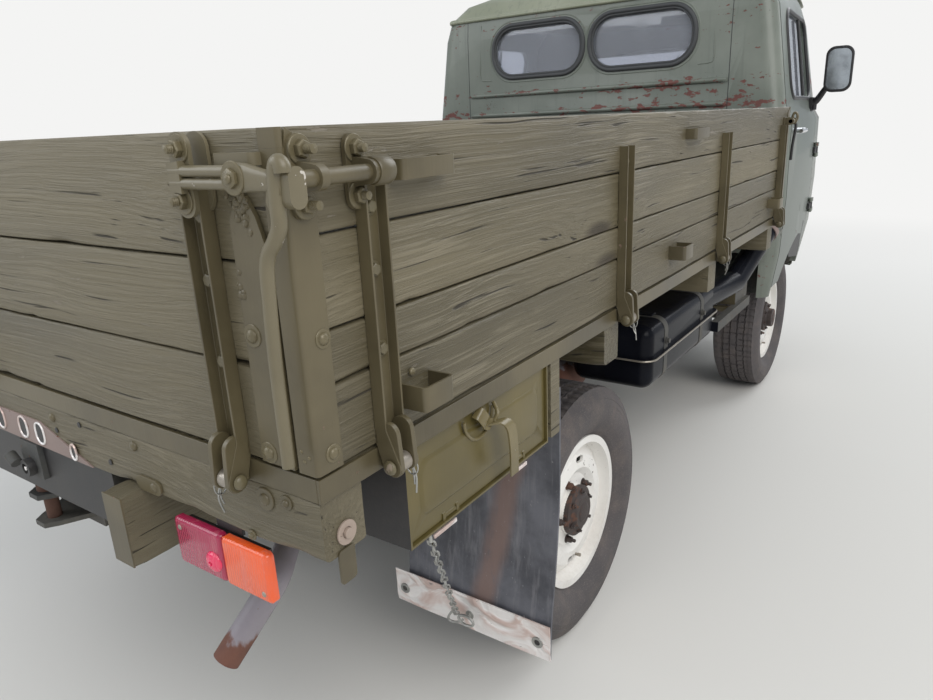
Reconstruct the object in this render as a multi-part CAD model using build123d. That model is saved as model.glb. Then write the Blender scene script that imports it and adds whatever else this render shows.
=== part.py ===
from build123d import *
import os

# Forward-control drop-side cargo truck. Millimetres, +X forward, +Y left, +Z up.
# The origin is on the ground, midway along the overall length and on the centre plane.

# Overall sizes
wheelbase = 2300.0
rear_overhang = 1142.0
front_overhang = 1018.0
length = rear_overhang + wheelbase + front_overhang
track = 1445.0
cab_height = 2070.0
bumper_proud = 43.0
rear_axle_x = -length / 2 + rear_overhang
front_axle_x = rear_axle_x + wheelbase
cab_nose_x = length / 2 - bumper_proud
cab_rear_x = front_axle_x - 572.0

# Wheels
tyre_radius = 362.0
tyre_width = 228.0
rim_flange_radius = 220.0
rim_seat_radius = 206.0
rim_half_width = 84.0
spindle_radius = 30.0
running_gap = 0.05
seat_gap = 0.3
wheel_z = tyre_radius
wheel_y = track / 2
kingpin_y = 612.0

# Moving panels keep this far from what stands still
panel_gap = 6.0

# Load bed
cab_gap = 163.0
bed_tail = 1088.0
bed_half_width = 966.0
board_thickness = 30.0
gate_thickness = 34.0
board_top = 1431.0
floor_top = 1010.0
floor_thickness = 34.0
rail_height = 34.0
rail_thickness = 6.0
hinge_offset = 25.0
hinge_z = 988.0
hinge_pin_radius = 6.0
beam_height = 91.0
beam_width = 80.0
sill_y = (490.0, 545.0)
sill_height = 130.0
plank_gap = 3.0
bed_rear_x = rear_axle_x - bed_tail
bed_front_x = cab_rear_x - cab_gap
floor_bottom = floor_top - floor_thickness
beam_bottom = floor_bottom - beam_height
board_bottom = floor_top + panel_gap
side_hinge_y = bed_half_width + hinge_offset
gate_hinge_x = bed_rear_x - hinge_offset
gate_half_width = bed_half_width - board_thickness - panel_gap

# Frame
rail_outer_y = 445.0
rail_width = 55.0
rail_section = 110.0
rail_wall = 5.0
rail_low_bottom = 600.0
rail_high_bottom = beam_bottom - rail_section
spring_y = 400.0
spring_width = 56.0
axle_tube_radius = 42.0
diff_radius = wheel_z - 220.0

# Cab
cab_half_width = 940.0
wall = 32.0
glass_thickness = 6.0
door_rear_x = cab_rear_x + 62.0
door_front_x = cab_nose_x - 625.0
door_bottom = 640.0
roof_split_z = 1935.0
door_gap = 9.0
arch_radius = 440.0
arch_skin = 6.0
cab_floor_z = wheel_z + arch_radius + 2.0
cab_floor_thickness = 20.0


def block(x0, x1, y0, y1, z0, z1):
    size = Box(abs(x1 - x0), abs(y1 - y0), abs(z1 - z0))
    return Pos((x0 + x1) / 2, (y0 + y1) / 2, (z0 + z1) / 2) * size


def rod(start, end, radius):
    a, b = Vector(*start), Vector(*end)
    return Plane(origin=(a + b) / 2, z_dir=b - a) * Cylinder(radius, (b - a).length)


def along_y(points, y0, y1):
    """Closed outline of (x, z) points, carried from y0 to y1."""
    face = Plane.XZ * Polygon(*points, align=None)
    return Pos(0, min(y0, y1), 0) * extrude(face, abs(y1 - y0), dir=(0, 1, 0))


def along_x(points, x0, x1):
    """Closed outline of (y, z) points, carried from x0 to x1."""
    face = Plane.YZ * Polygon(*points, align=None)
    return Pos(min(x0, x1), 0, 0) * extrude(face, abs(x1 - x0), dir=(1, 0, 0))


def other_side(shape):
    return mirror(shape, about=Plane.XZ)


def save(name, shape):
    shapes = shape if isinstance(shape, list) else [shape]
    solids = [solid for piece in shapes for solid in piece.solids()]
    export_step(solids[0] if len(solids) == 1 else Compound(solids), f"parts/{name}.step")


def joined(shapes):
    result = shapes[0]
    for shape in shapes[1:]:
        result = result + shape
    return result


# Wheels, turned about the axle line; offsets are outwards from the wheel's middle plane
def turned(profile, x, y):
    face = Plane.XY * Polygon(*profile, align=None)
    wheel = revolve(face, Axis.Y)
    return Pos(x, y, wheel_z) * wheel


def tyre(x, side):
    half = tyre_width / 2
    # columns: radius, offset from the middle plane
    outline = [
        (rim_seat_radius + seat_gap, 76), (222, 77), (232, 90), (262, half - 4), (290, half), (318, half - 4),
        (342, half - 16), (tyre_radius - 6, half - 32), (tyre_radius, half - 44),
    ]
    return turned(outline + [(r, -offset) for r, offset in reversed(outline)], x, side * wheel_y)


drum_radius = 150.0
drum_wall = 8.0
drum_inner = -30.0
hand_hole_radius = 150.0
hand_hole_angles = (80, 260)


def rim(x, side, hub_reach):
    # columns: radius, offset outwards
    outline = [
        (rim_seat_radius, 78), (rim_flange_radius, 78), (rim_flange_radius, 84), (200, 84), (196, 60),
        (190, 44), (160, 66), (124, 70), (104, 54), (72, 54), (72, 74), (46, 78), (44, hub_reach),
        (spindle_radius + running_gap, hub_reach), (spindle_radius + running_gap, -10),
        (64, -10), (66, 18), (drum_radius - drum_wall, 18), (drum_radius - drum_wall, drum_inner),
        (drum_radius, drum_inner), (drum_radius, 26), (76, 26), (78, 36), (106, 46), (126, 62), (158, 58), (188, 34),
        (196, 20), (196, -76), (200, -84), (rim_flange_radius, -84), (rim_flange_radius, -78),
        (rim_seat_radius, -78),
    ]
    profile = [(r, side * offset) for r, offset in outline]
    wheel = turned(profile, x, side * wheel_y)
    cap_y = side * (wheel_y + hub_reach)
    cap = rod((x, cap_y, wheel_z), (x, cap_y + side * 8, wheel_z), 44)
    slot = extrude(Plane.XZ * SlotCenterToCenter(26, 18), 60, dir=(0, 1, 0))
    for angle in hand_hole_angles:
        hole = Rot(0, -angle, 0) * Pos(hand_hole_radius, 0, 0) * Rot(0, 90, 0) * slot
        start = wheel_y + 38 if side > 0 else -wheel_y - 98
        wheel = wheel - Pos(x, start, wheel_z) * hole
    return wheel + cap


# Axles and steering
nose_reach = 230.0
plate_radius = 152.0
plate_y = (wheel_y - 41.0, wheel_y - 36.0)


def back_plate(x, side):
    return rod((x, side * plate_y[0], wheel_z), (x, side * plate_y[1], wheel_z), plate_radius)


def rear_axle():
    reach = wheel_y + 50
    end = plate_y[1]
    tube = rod((rear_axle_x, -end, wheel_z), (rear_axle_x, end, wheel_z), axle_tube_radius)
    spindle = rod((rear_axle_x, -reach, wheel_z), (rear_axle_x, reach, wheel_z), spindle_radius)
    diff = Pos(rear_axle_x, 0, wheel_z) * Sphere(diff_radius)
    nose = rod((rear_axle_x, 0, wheel_z), (rear_axle_x + nose_reach, 0, wheel_z + 30), 55)
    pads = [block(rear_axle_x - 50, rear_axle_x + 50, s * spring_y - 30, s * spring_y + 30, wheel_z, 412)
            for s in (-1, 1)]
    plates = [back_plate(rear_axle_x, s) for s in (-1, 1)]
    return joined([tube, spindle, diff, nose] + pads + plates)


ball_radius = 66.0
ball_gap = 0.6
cup_wall = 16.0
kingpin_radius = 12.0
kingpin_reach = 92.0


def front_axle():
    tube = rod((front_axle_x, -kingpin_y, wheel_z), (front_axle_x, kingpin_y, wheel_z), 36)
    balls = [Pos(front_axle_x, s * kingpin_y, wheel_z) * Sphere(ball_radius) for s in (-1, 1)]
    diff = Pos(front_axle_x, 0, wheel_z) * Sphere(diff_radius)
    nose = rod((front_axle_x, 0, wheel_z), (front_axle_x - nose_reach, 0, wheel_z + 30), 55)
    pads = [block(front_axle_x - 50, front_axle_x + 50, s * spring_y - 30, s * spring_y + 30, wheel_z, 412)
            for s in (-1, 1)]
    low, high = wheel_z - kingpin_reach, wheel_z + kingpin_reach
    pins = [rod((front_axle_x, s * kingpin_y, low), (front_axle_x, s * kingpin_y, high), kingpin_radius)
            for s in (-1, 1)]
    return joined([tube, diff, nose] + balls + pads + pins)


def knuckle(side):
    centre = Pos(front_axle_x, side * kingpin_y, wheel_z)
    cup = centre * (Sphere(ball_radius + cup_wall) - Sphere(ball_radius + ball_gap))
    cup = cup - block(front_axle_x - 120, front_axle_x + 120, 0, side * (kingpin_y + 6), 0, 2 * wheel_z)
    start = side * (kingpin_y + ball_radius + 4)
    spindle = rod((front_axle_x, start, wheel_z), (front_axle_x, side * (wheel_y + 50), wheel_z), spindle_radius)
    for end in (-1, 1):
        low, high = wheel_z + end * (ball_radius + ball_gap), wheel_z + end * (kingpin_reach + 4)
        boss = rod((front_axle_x, side * kingpin_y, low), (front_axle_x, side * kingpin_y, high), kingpin_radius + 14)
        cup = cup + boss
    bore = centre * Cylinder(kingpin_radius + running_gap, 3 * kingpin_reach)
    return (cup - bore) + spindle + back_plate(front_axle_x, side)


def leaf_spring(x, side, end_z):
    half, sag, leaf = 520.0, 412.0, 36.0
    low = ThreePointArc((x - half, end_z), (x, sag), (x + half, end_z))
    high = ThreePointArc((x + half, end_z + leaf / 2), (x, sag + leaf), (x - half, end_z + leaf / 2))
    edges = [low, Line(low @ 1, high @ 0), high, Line(high @ 1, low @ 0)]
    face = Plane.XZ * make_face(edges)
    y0 = side * spring_y - spring_width / 2
    return Pos(0, y0, 0) * extrude(face, spring_width, dir=(0, 1, 0))


# Frame
transfer_rear_x = front_axle_x - 980.0
transfer_front_x = front_axle_x - 800.0
kick_start_x = rear_axle_x + 520.0
kick_end_x = rear_axle_x + 900.0
frame_rear_x = bed_rear_x + 5.0
frame_front_x = cab_nose_x - 170.0
bumper_z = (470.0, 590.0)
bumper_depth = 60.0
bumper_wall = 5.0
spring_end_rear = 560.0
spring_end_front = 540.0


def frame_rail(side):
    def band(low, high):
        path = [(frame_rear_x, rail_high_bottom), (kick_start_x, rail_high_bottom),
                (kick_end_x, rail_low_bottom), (frame_front_x, rail_low_bottom)]
        return [(x, z + low) for x, z in path] + [(x, z + high) for x, z in reversed(path)]
    outer = along_y(band(0, rail_section), side * (rail_outer_y - rail_width), side * rail_outer_y)
    inner = along_y(band(rail_wall, rail_section - rail_wall),
                    side * (rail_outer_y - rail_width - 1), side * (rail_outer_y - rail_wall))
    return outer - inner


def frame():
    rails = [frame_rail(-1), frame_rail(1)]
    inner = rail_outer_y - rail_wall
    # columns: start x, length, bottom z, height of each cross member
    members = [
        (frame_rear_x, 60, rail_high_bottom + 2, rail_section - 4),
        (rear_axle_x - 560, 60, rail_high_bottom + 10, 90),
        (rear_axle_x + 400, 60, rail_high_bottom + 10, 90),
        (transfer_rear_x - 80, 70, rail_low_bottom + 10, 90),
        (frame_front_x - 80, 60, rail_low_bottom + 10, 90),
    ]
    cross = [block(x, x + run, -inner, inner, z, z + height) for x, run, z, height in members]
    slots = []
    for y in (-330, -215, -100, 100, 215, 330):
        hole = Plane.YZ * SlotCenterToCenter(34, 24)
        slots.append(Pos(frame_rear_x - 10, y, rail_high_bottom + 50) * extrude(Rot(90, 0, 0) * hole, 50))
    # columns: axle x, offset of each spring eye, eye height, rail bottom there
    hangers = []
    for x, offset, eye, bottom in ((rear_axle_x, -520, spring_end_rear, rail_high_bottom),
                                   (rear_axle_x, 520, spring_end_rear, rail_high_bottom),
                                   (front_axle_x, -520, spring_end_front, rail_low_bottom),
                                   (front_axle_x, 520, spring_end_front, rail_low_bottom)):
        for s in (-1, 1):
            y0, y1 = s * (spring_y - 26), s * (spring_y + 26)
            hangers.append(block(x + offset - 34, x + offset + 34, y0, y1, eye + 18 + seat_gap, bottom + 2))
    for s in (-1, 1):
        y0, y1 = s * (rail_outer_y - rail_width), s * rail_outer_y
        low, high = bumper_z[0] + 45, bumper_z[1] - 8
        hangers.append(block(frame_front_x - 120, frame_front_x, y0, y1, low, rail_low_bottom + 2))
        hangers.append(block(frame_front_x - 120, length / 2 - bumper_wall, y0, y1, low, high))
        for x in (cab_rear_x + 70, front_axle_x + 560):
            hangers.append(block(x, x + 70, y0, y1, rail_low_bottom + rail_section - 2, cab_floor_z))
    tow_beam = block(tow_x, tow_x + 70, -rail_outer_y, rail_outer_y, rail_high_bottom - 85, rail_high_bottom)
    return joined(rails + cross + hangers + [tow_beam])


tow_x = rear_axle_x - 940.0
tow_upper_z = 694.0
tow_lower_z = 626.0
tow_reach = 92.0
tow_pin_radius = 15.0


def tow_fork():
    root = block(tow_x - 12, tow_x, -95, 95, 600, 770)
    plates = []
    for z in (tow_lower_z, tow_upper_z):
        tip = tow_x - 12 - tow_reach
        outline = Polygon((tow_x - 12, -70), (tow_x - 12, 70), (tip + 25, 36), (tip, 18), (tip, -18), (tip + 25, -36),
                          align=None)
        plates.append(Pos(0, 0, z - 6) * extrude(outline, 12))
    pin_x = tow_x - 12 - tow_reach + 34
    holes = rod((pin_x, 0, 560), (pin_x, 0, 760), tow_pin_radius + seat_gap)
    return joined([root] + plates) - holes


def tow_pin():
    pin_x = tow_x - 12 - tow_reach + 34
    shank = rod((pin_x, 0, tow_lower_z - 16), (pin_x, 0, tow_upper_z + 6 + seat_gap), tow_pin_radius)
    head = rod((pin_x, 0, tow_upper_z + 6 + seat_gap), (pin_x, 0, tow_upper_z + 22), tow_pin_radius + 8)
    return shank + head


# Drive line
def engine_block():
    engine = block(front_axle_x - 250, front_axle_x + 420, -210, 210, 640, 1040)
    sump = block(front_axle_x + 170, front_axle_x + 400, -150, 150, 560, 640)
    gearbox = block(transfer_front_x, front_axle_x - 250, -140, 140, 560, 800)
    transfer = block(transfer_rear_x, transfer_front_x, -210, 140, 470, 740)
    return joined([engine, sump, gearbox, transfer])


def prop_shafts():
    ball = 38.0
    reach = nose_reach + ball + seat_gap
    # columns: one end's centre, the other end's centre, tube radius
    runs = [
        ((rear_axle_x + reach, 0, wheel_z + 34), (transfer_rear_x - ball - seat_gap, 0, 540), 30),
        ((transfer_front_x + ball + seat_gap, -168, 515), (front_axle_x - reach, 0, wheel_z + 34), 26),
    ]
    return [rod(a, b, radius) + Pos(*a) * Sphere(ball) + Pos(*b) * Sphere(ball) for a, b, radius in runs]


# Tanks, exhaust, toolbox, mudflaps
tank_x = (rear_axle_x + 385, rear_axle_x + 1120)
tank_y = (575.0, 860.0)
tank_z = (590.0, 800.0)
filler_cap = (cab_rear_x - 92.0, 900.0, 925.0)
neck_radius = 46.0
carrier_x = (cab_rear_x - 620.0, cab_rear_x - 140.0)
carrier_z = 645.0


def fuel_tank(side):
    x0, x1 = tank_x
    y0, y1 = tank_y
    z0, z1 = tank_z
    body = block(x0 + 15, x1 - 15, side * y0, side * (y1 - 12), z0, z1)
    body = fillet(body.edges(), 40)
    seam = block(x0, x1, side * (y0 + 2), side * y1, (z0 + z1) / 2 - 4, (z0 + z1) / 2 + 4)
    seam = fillet(seam.edges().filter_by(Axis.Z), 45)
    cx, cy, cz = filler_cap
    bend = (x1 + 250, side * (cy - 55), z1 - 50)
    foot = rod((x1 - 90, side * (y1 - 60), z1 - 60), bend, neck_radius)
    neck = rod(bend, (cx, side * cy, cz), neck_radius)
    elbow = Pos(*bend) * Sphere(neck_radius)
    collar = Plane(origin=(cx, side * cy, cz), z_dir=Vector(cx, side * cy, cz) - Vector(*bend))
    cap = collar * Cylinder(neck_radius + 5, 26)
    return joined([body, seam, foot, elbow, neck, cap] + tank_brackets(side))


def tank_brackets(side):
    """Arms over the tank's top, bolted to the outer face of the bed sill."""
    x0, x1 = tank_x
    arms = []
    for x in (x0 + 150, x1 - 190):
        arms.append(block(x, x + 40, side * sill_y[1], side * (tank_y[1] - 60), tank_z[1] - 1, tank_z[1] + 6))
        arms.append(block(x, x + 40, side * sill_y[1], side * (sill_y[1] + 6), tank_z[1] - 40, beam_bottom - 10))
    arms.append(block(x1 - 20, carrier_x[1], side * 835, side * 865, carrier_z - 40, carrier_z))
    arms.append(block(carrier_x[1] - 190, carrier_x[1], side * 720, side * 850, carrier_z - 2, carrier_z + 65))
    post = beam_places[-1] + 8
    arms.append(block(post, post + 30, side * 700, side * 836, carrier_z - 30, carrier_z - 10))
    arms.append(block(post, post + 30, side * 690, side * 702, carrier_z - 30, beam_bottom))
    return arms


exhaust_path = [(1000, -300, 560), (640, -500, 560), (-430, -512, 590), (-800, -560, 690),
                (-965, -690, 690), (-1062, -652, 574)]


def exhaust():
    points = [(rear_axle_x + x, y, z) for x, y, z in exhaust_path]
    path = FilletPolyline(*points, radius=45)
    ring = Plane(origin=points[0], z_dir=path % 0) * (Circle(24) - Circle(20))
    pipe = sweep(ring, path)
    silencer = rod((rear_axle_x + 560, -501, 561), (rear_axle_x + 160, -505, 572), 60)
    # columns: x and y of each hanger strip up to the sill, its lower end
    strips = [block(rear_axle_x + x - 12, rear_axle_x + x + 12, y, y + 6, z, beam_bottom - sill_height)
              for x, y, z in ((200, -508, 625), (540, -508, 615), (-790, -sill_y[1], 700))]
    return joined([pipe, silencer] + strips)


box_x = (rear_axle_x - 915.0, rear_axle_x - 474.0)
box_y = (570.0, 958.0)
box_z = (808.0, floor_bottom)
box_wall = 4.0
lid_axis = (-box_y[1] + 8, box_z[0] + box_wall + panel_gap + 4)
lid_hinges_x = (box_x[0] + 110, box_x[1] - 110)
lid_barrel = 30.0
lid_pin_radius = 2.5


def toolbox():
    outer = block(*box_x, -box_y[0], -box_y[1], *box_z)
    inner = block(box_x[0] + box_wall, box_x[1] - box_wall, -box_y[0] - box_wall, -box_y[1] - 1,
                  box_z[0] + box_wall, box_z[1] - box_wall)
    box = outer - inner
    y, z = lid_axis
    for x in lid_hinges_x:
        for side in (-1, 1):
            start = x + side * (lid_barrel / 2 + seat_gap)
            end = start + side * 7
            box = box + block(start, end, y - 5, y + 5, box_z[0], z) + rod((start, y, z), (end, y, z), 5)
        reach = lid_barrel / 2 + 5
        box = box + rod((x - reach, y, z), (x + reach, y, z), lid_pin_radius)
    return box


def toolbox_lid():
    side_gap, face_y = box_wall + panel_gap, lid_axis[0]
    x0, x1 = box_x[0] + side_gap, box_x[1] - side_gap
    lid = block(x0, x1, face_y - 2.5, face_y + 2.5, lid_axis[1], box_z[1] - side_gap)
    y, z = lid_axis
    for x in lid_hinges_x:
        half = lid_barrel / 2
        for side in (-1, 1):
            start = x + side * half
            lid = lid - block(start, start + side * 15, y - 10, y + 10, z - 1, z + 12)
        lid = lid + rod((x - half, y, z), (x + half, y, z), 5)
        lid = lid - rod((x - half - 20, y, z), (x + half + 20, y, z), lid_pin_radius + running_gap)
    return lid + lid_clip()


clip_x = box_x[0] + 226.0
clip_width = 24.0


def lid_clip():
    """Flat strap that stands out from the lid's recess plate and curves down over its face."""
    face, steel = lid_axis[0] - 2.5, 3.0
    # columns: distance out from the lid, height
    line = [(-1, 948), (17, 945), (32, 938), (42, 916), (43, 880), (40, 838)]
    outer = [(face - out, z + steel) for out, z in line[:3]] + [(face - out - steel, z) for out, z in line[3:]]
    inner = [(face - out, z) for out, z in reversed(line)]
    strap = along_x(outer + inner, clip_x, clip_x + clip_width)
    recess = Plane.XZ * (Circle(36) & Pos(0, -30, 0) * Rectangle(90, 60))
    plate = Pos(clip_x - 14, face + 1, 958) * extrude(recess, 3.5, dir=(0, -1, 0))
    return strap + plate


flap_x = rear_axle_x - 465.0
flap_y = (551.0, 955.0)
flap_z = (262.0, 905.0)
strip_top = 356.0


def mudflap(side):
    sheet = block(flap_x - 3, flap_x + 3, side * flap_y[0], side * flap_y[1], *flap_z)
    strip = block(flap_x - 6, flap_x - 3, side * (flap_y[0] - 35), side * flap_y[1], flap_z[0], strip_top)
    bolts_y = (flap_y[0] - 8, flap_y[1] - 30)
    bolts = [rod((flap_x - 10, side * y, 304), (flap_x - 5, side * y, 304), 15) for y in bolts_y]
    return joined([sheet, strip] + bolts)


chain_start = Vector(box_x[0] + 58.0, -box_y[1] + 8.0, box_z[0] - 16.0)
chain_end = Vector(flap_x - 24.0, -715.0, 305.0)
link_length = 26.0


def flap_chain():
    """Links of square wire from the toolbox's lower edge to an eye on the flap's strip."""
    run = chain_end - chain_start
    count = int(run.length // (link_length - 7.7))
    step = run / count
    plane = Plane(origin=chain_start, x_dir=run, z_dir=run.cross(Vector(0, 0, 1)))
    links = []
    for i in range(count + 1):
        ring = Box(link_length, 15, 4) - Box(link_length - 8, 7, 5)
        links.append(Pos(*(step * i)) * (plane * (Rot(90 * (i % 2), 0, 0) * ring)))
    x, y, z = chain_start
    hanger = rod((x, y, z), (x, y, box_z[0]), 4)
    eye = rod((flap_x - 30, chain_end.Y, chain_end.Z), (flap_x - 6, chain_end.Y, chain_end.Z), 6)
    return joined(links + [hanger, eye])


# Load bed
def planks(x0, x1, y0, y1, z0, z1, breaks):
    """Boards of one wall stacked in height, with open joints at the given heights."""
    edges = [z0] + sorted(breaks) + [z1]
    boards = []
    for low, high in zip(edges, edges[1:]):
        bottom = low if low == z0 else low + plank_gap / 2
        top = high if high == z1 else high - plank_gap / 2
        boards.append(block(x0, x1, y0, y1, bottom, top))
    return boards


side_breaks = (1124.0, 1194.0, 1310.0)
gate_breaks = (1146.0, 1279.0)


def bed_floor():
    count = 8
    x0, x1 = bed_rear_x + rail_thickness, bed_front_x
    reach = bed_half_width - rail_thickness
    pitch = 2 * reach / count
    return [block(x0, x1, -reach + i * pitch + plank_gap / 2, -reach + (i + 1) * pitch - plank_gap / 2,
                  floor_bottom, floor_top) for i in range(count)]


beam_places = (bed_rear_x, rear_axle_x - 210, rear_axle_x + 580, bed_front_x - 195)


def bed_beams():
    end = bed_half_width - rail_thickness
    beams = [block(x, x + beam_width, -end, end, beam_bottom, floor_bottom) for x in beam_places]
    sills = [block(bed_rear_x - 37, bed_front_x, s * sill_y[0], s * sill_y[1], beam_bottom - sill_height, beam_bottom)
             for s in (-1, 1)]
    hangers = [block(flap_x + 3, flap_x + 43, s * sill_y[1], s * (end - 2), beam_bottom - 75, floor_bottom)
               for s in (-1, 1)]
    return beams + sills + hangers


side_straps_x = (bed_rear_x + 128, rear_axle_x - 140, rear_axle_x + 640, bed_front_x - 125)
gate_straps_y = (-820.0, 0.0, 820.0)
strap_width = 40.0
strap_proud = 20.0
boss_length = 20.0
ear_thickness = 8.0


def hinge_boss():
    """Fixed half of a board hinge, drawn at the origin with its pin along X."""
    arm = block(-boss_length / 2, boss_length / 2, -hinge_offset, 0, -12, 12)
    barrel = rod((-boss_length / 2, 0, 0), (boss_length / 2, 0, 0), 12)
    reach = boss_length / 2 + ear_thickness + 4
    pin = rod((-reach, 0, 0), (reach, 0, 0), hinge_pin_radius)
    return arm + barrel + pin


def hinge_ears():
    """Moving half of a board hinge, drawn at the origin with its pin along X."""
    low = board_bottom - hinge_z
    outline = [(-hinge_offset, low), (-hinge_offset, low + 60), (-hinge_offset + strap_proud, low + 60), (12, 2),
               (-8, -9), (-13, 0)]
    ears = []
    for side in (-1, 1):
        x0 = side * (boss_length / 2 + seat_gap)
        x1 = x0 + side * ear_thickness
        ear = along_x(outline, x0, x1) + rod((x0, 0, 0), (x1, 0, 0), 13)
        ears.append(ear - rod((x0 - 5 * side, 0, 0), (x1 + 5 * side, 0, 0), hinge_pin_radius + running_gap))
    half = strap_width / 2
    base = block(-half, half, -hinge_offset, -hinge_offset + 5, low + 4, board_top - 66 - hinge_z)
    webs = [block(side * (half - 6), side * half, -hinge_offset, -hinge_offset + strap_proud,
                  low + 30, board_top - 66 - hinge_z) for side in (-1, 1)]
    return joined(ears + [base] + webs)


# The left side's outward direction is +Y, the tailgate's is -X
def on_side(shape, x, side):
    placed = Pos(x, side_hinge_y, hinge_z) * shape
    return placed if side > 0 else other_side(placed)


def on_gate(shape, y):
    return Pos(gate_hinge_x, y, hinge_z) * (Rot(0, 0, 90) * shape)


def bed_rails():
    outer, low = bed_half_width, floor_top - rail_height
    frame_edge = block(bed_rear_x, bed_front_x, -outer, outer, low, floor_top)
    inside = block(bed_rear_x + rail_thickness, bed_front_x + 1, -outer + rail_thickness, outer - rail_thickness,
                   low - 1, floor_top + 1)
    edge = frame_edge - inside
    bosses = [on_side(hinge_boss(), x, s) for x in side_straps_x for s in (-1, 1)]
    bosses += [on_gate(hinge_boss(), y) for y in gate_straps_y]
    return joined([edge] + bosses)


def front_board():
    x0, x1 = bed_front_x - gate_thickness, bed_front_x
    boards = planks(x0, x1, -gate_half_width, gate_half_width, board_bottom, board_top, side_breaks)
    posts = [block(x1, x1 + 6, y - 30, y + 30, floor_bottom, board_top) for y in (-600, 0, 600)]
    return joined(boards + posts)


def side_boards(side):
    outer, inner = side * bed_half_width, side * (bed_half_width - board_thickness)
    return planks(bed_rear_x, bed_front_x, inner, outer, board_bottom, board_top, side_breaks)


corner_steel = 3.0


def corner_post(x_end, into):
    """Angle on a side board's end; into is +1 when the board runs forward from it."""
    y0, y1 = bed_half_width - board_thickness, bed_half_width
    cap = block(x_end, x_end - into * corner_steel, y0, y1 + corner_steel, board_bottom, board_top)
    flange = block(x_end, x_end + into * 45, y1, y1 + corner_steel, board_bottom, board_top)
    chamfer = along_y([(x_end + into * 8, board_top + 1), (x_end + into * 46, board_top + 1),
                       (x_end + into * 46, board_top - 22)], y1 - 1, y1 + corner_steel + 1)
    return cap + (flange - chamfer)


def pocket(x, z, width, proud, height):
    y0 = bed_half_width
    loop = block(x - width / 2, x + width / 2, y0, y0 + proud, z - height / 2, z + height / 2)
    hole = block(x - width / 2 + 4, x + width / 2 - 4, y0 + 4, y0 + proud - 4, z - height, z + height)
    return loop - hole


# columns: x, z, width, proud, height of each stake pocket
pockets = [
    (rear_axle_x - 887, 1066, 68, 45, 36),
    (rear_axle_x + 215, 1080, 68, 45, 36),
    (bed_front_x - 235, 1080, 68, 45, 36),
    (rear_axle_x - 860, 1374, 115, 30, 26),
    (rear_axle_x + 330, 1374, 115, 30, 26),
]
latch_bar_z = 1377.0
latch_bar_y = bed_half_width + 34.0
latch_bar_radius = 10.0


def side_straps(side):
    pieces = [Pos(x, side_hinge_y, hinge_z) * hinge_ears() for x in side_straps_x]
    pieces += [corner_post(bed_rear_x, 1), corner_post(bed_front_x, -1)]
    pieces += [pocket(*row) for row in pockets]
    bar = rod((bed_rear_x + 3, latch_bar_y, latch_bar_z), (side_straps_x[0] + 22, latch_bar_y, latch_bar_z),
              latch_bar_radius)
    bearings = [block(x - 6, x + 6, bed_half_width, latch_bar_y + 12, latch_bar_z - 30, latch_bar_z + 30)
                for x in (bed_rear_x + 40, side_straps_x[0])]
    pieces.append(joined([bar] + bearings))
    pieces.append(front_latch())
    return pieces if side > 0 else [other_side(piece) for piece in pieces]


def front_latch():
    """Latch at a side's front corner: bracket, short rod with its eye, thin hanging handle."""
    x, y, z = bed_front_x - 14, bed_half_width, latch_bar_z
    plate = block(x - 100, x, y, y + 6, z - 16, z + 16)
    stem = rod((x - 80, y + 24, z), (x + 4, y + 24, z), 9)
    lugs = [block(x + low, x + low + 6, y, y + 34, z - 14, z + 14) for low in (-82, -24)]
    eye = rod((x, y + 24, z - 4), (x, y + 24, z + 34), 11)
    bend = (x - 6, y + 30, z - 34)
    handle = [rod((x, y + 24, z), bend, 6), Pos(*bend) * Sphere(6), rod(bend, (x - 10, y + 24, z - 150), 6)]
    return joined([plate, stem] + lugs + [eye] + handle)


def tailgate_boards():
    return planks(bed_rear_x, bed_rear_x + gate_thickness, -gate_half_width, gate_half_width,
                  board_bottom, board_top, gate_breaks)


latch_rear_x = -length / 2


def gate_latch():
    """Latch on the gate's left end: bracket on the strap, paired rods, arm and hanging handle."""
    x = bed_rear_x - 30
    bracket = block(bed_rear_x - 18, bed_rear_x - 36, 802, 842, 1330, board_top)
    bolts = [rod((bed_rear_x, 840, z), (latch_rear_x, 840, z), 11) for z in (1354, 1412)]
    rods = [rod((x, 812, z), (x, 930, z), 7) for z in (1373, 1388)]
    joint = rod((x + 14, 928, 1381), (x - 18, 928, 1381), 14)
    lugs = block(x - 8, x + 8, 916, 942, 1362, 1400)
    # columns: y and z along the arm and the handle, radius from there on
    line = [(928, 1381, 12), (990, latch_bar_z, 10), (1006, 1366, 10), (990, 1342, 9), (964, 1304, 8), (954, 1250, 8),
            (949, 1160, 8)]
    runs = [rod((x, y0, z0), (x, y1, z1), r) for (y0, z0, r), (y1, z1, _) in zip(line, line[1:])]
    knots = [Pos(x, y, z) * Sphere(r) for y, z, r in line[1:]]
    return joined([bracket] + bolts + rods + [joint, lugs] + runs + knots)


def tailgate_straps():
    pieces = [on_gate(hinge_ears(), y) for y in gate_straps_y]
    far, near = gate_half_width, gate_half_width - 60
    outline = [(near, board_bottom), (far, board_bottom), (far, 1318), ((near + far) / 2, 1358), (near, 1318)]
    ends = along_x(outline, bed_rear_x - 5, bed_rear_x)
    latch = gate_latch()
    left = pieces[-1] + latch
    right = pieces[0] + other_side(latch)
    return [left, right, *pieces[1:-1], ends, other_side(ends)]


lamp_y = (624.0, 842.0)
lamp_z = (770.0, 853.0)


def rear_lamp(side):
    body = block(bed_rear_x + 3, bed_rear_x + 32, side * lamp_y[0], side * lamp_y[1], *lamp_z)
    bracket = block(bed_rear_x + 22, bed_rear_x + 28, side * 700, side * 760, lamp_z[1], beam_bottom)
    dome = rod((bed_rear_x - 5, side * 700, 810), (bed_rear_x + 4, side * 700, 810), 24)
    return joined([body, bracket, dome])


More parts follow.
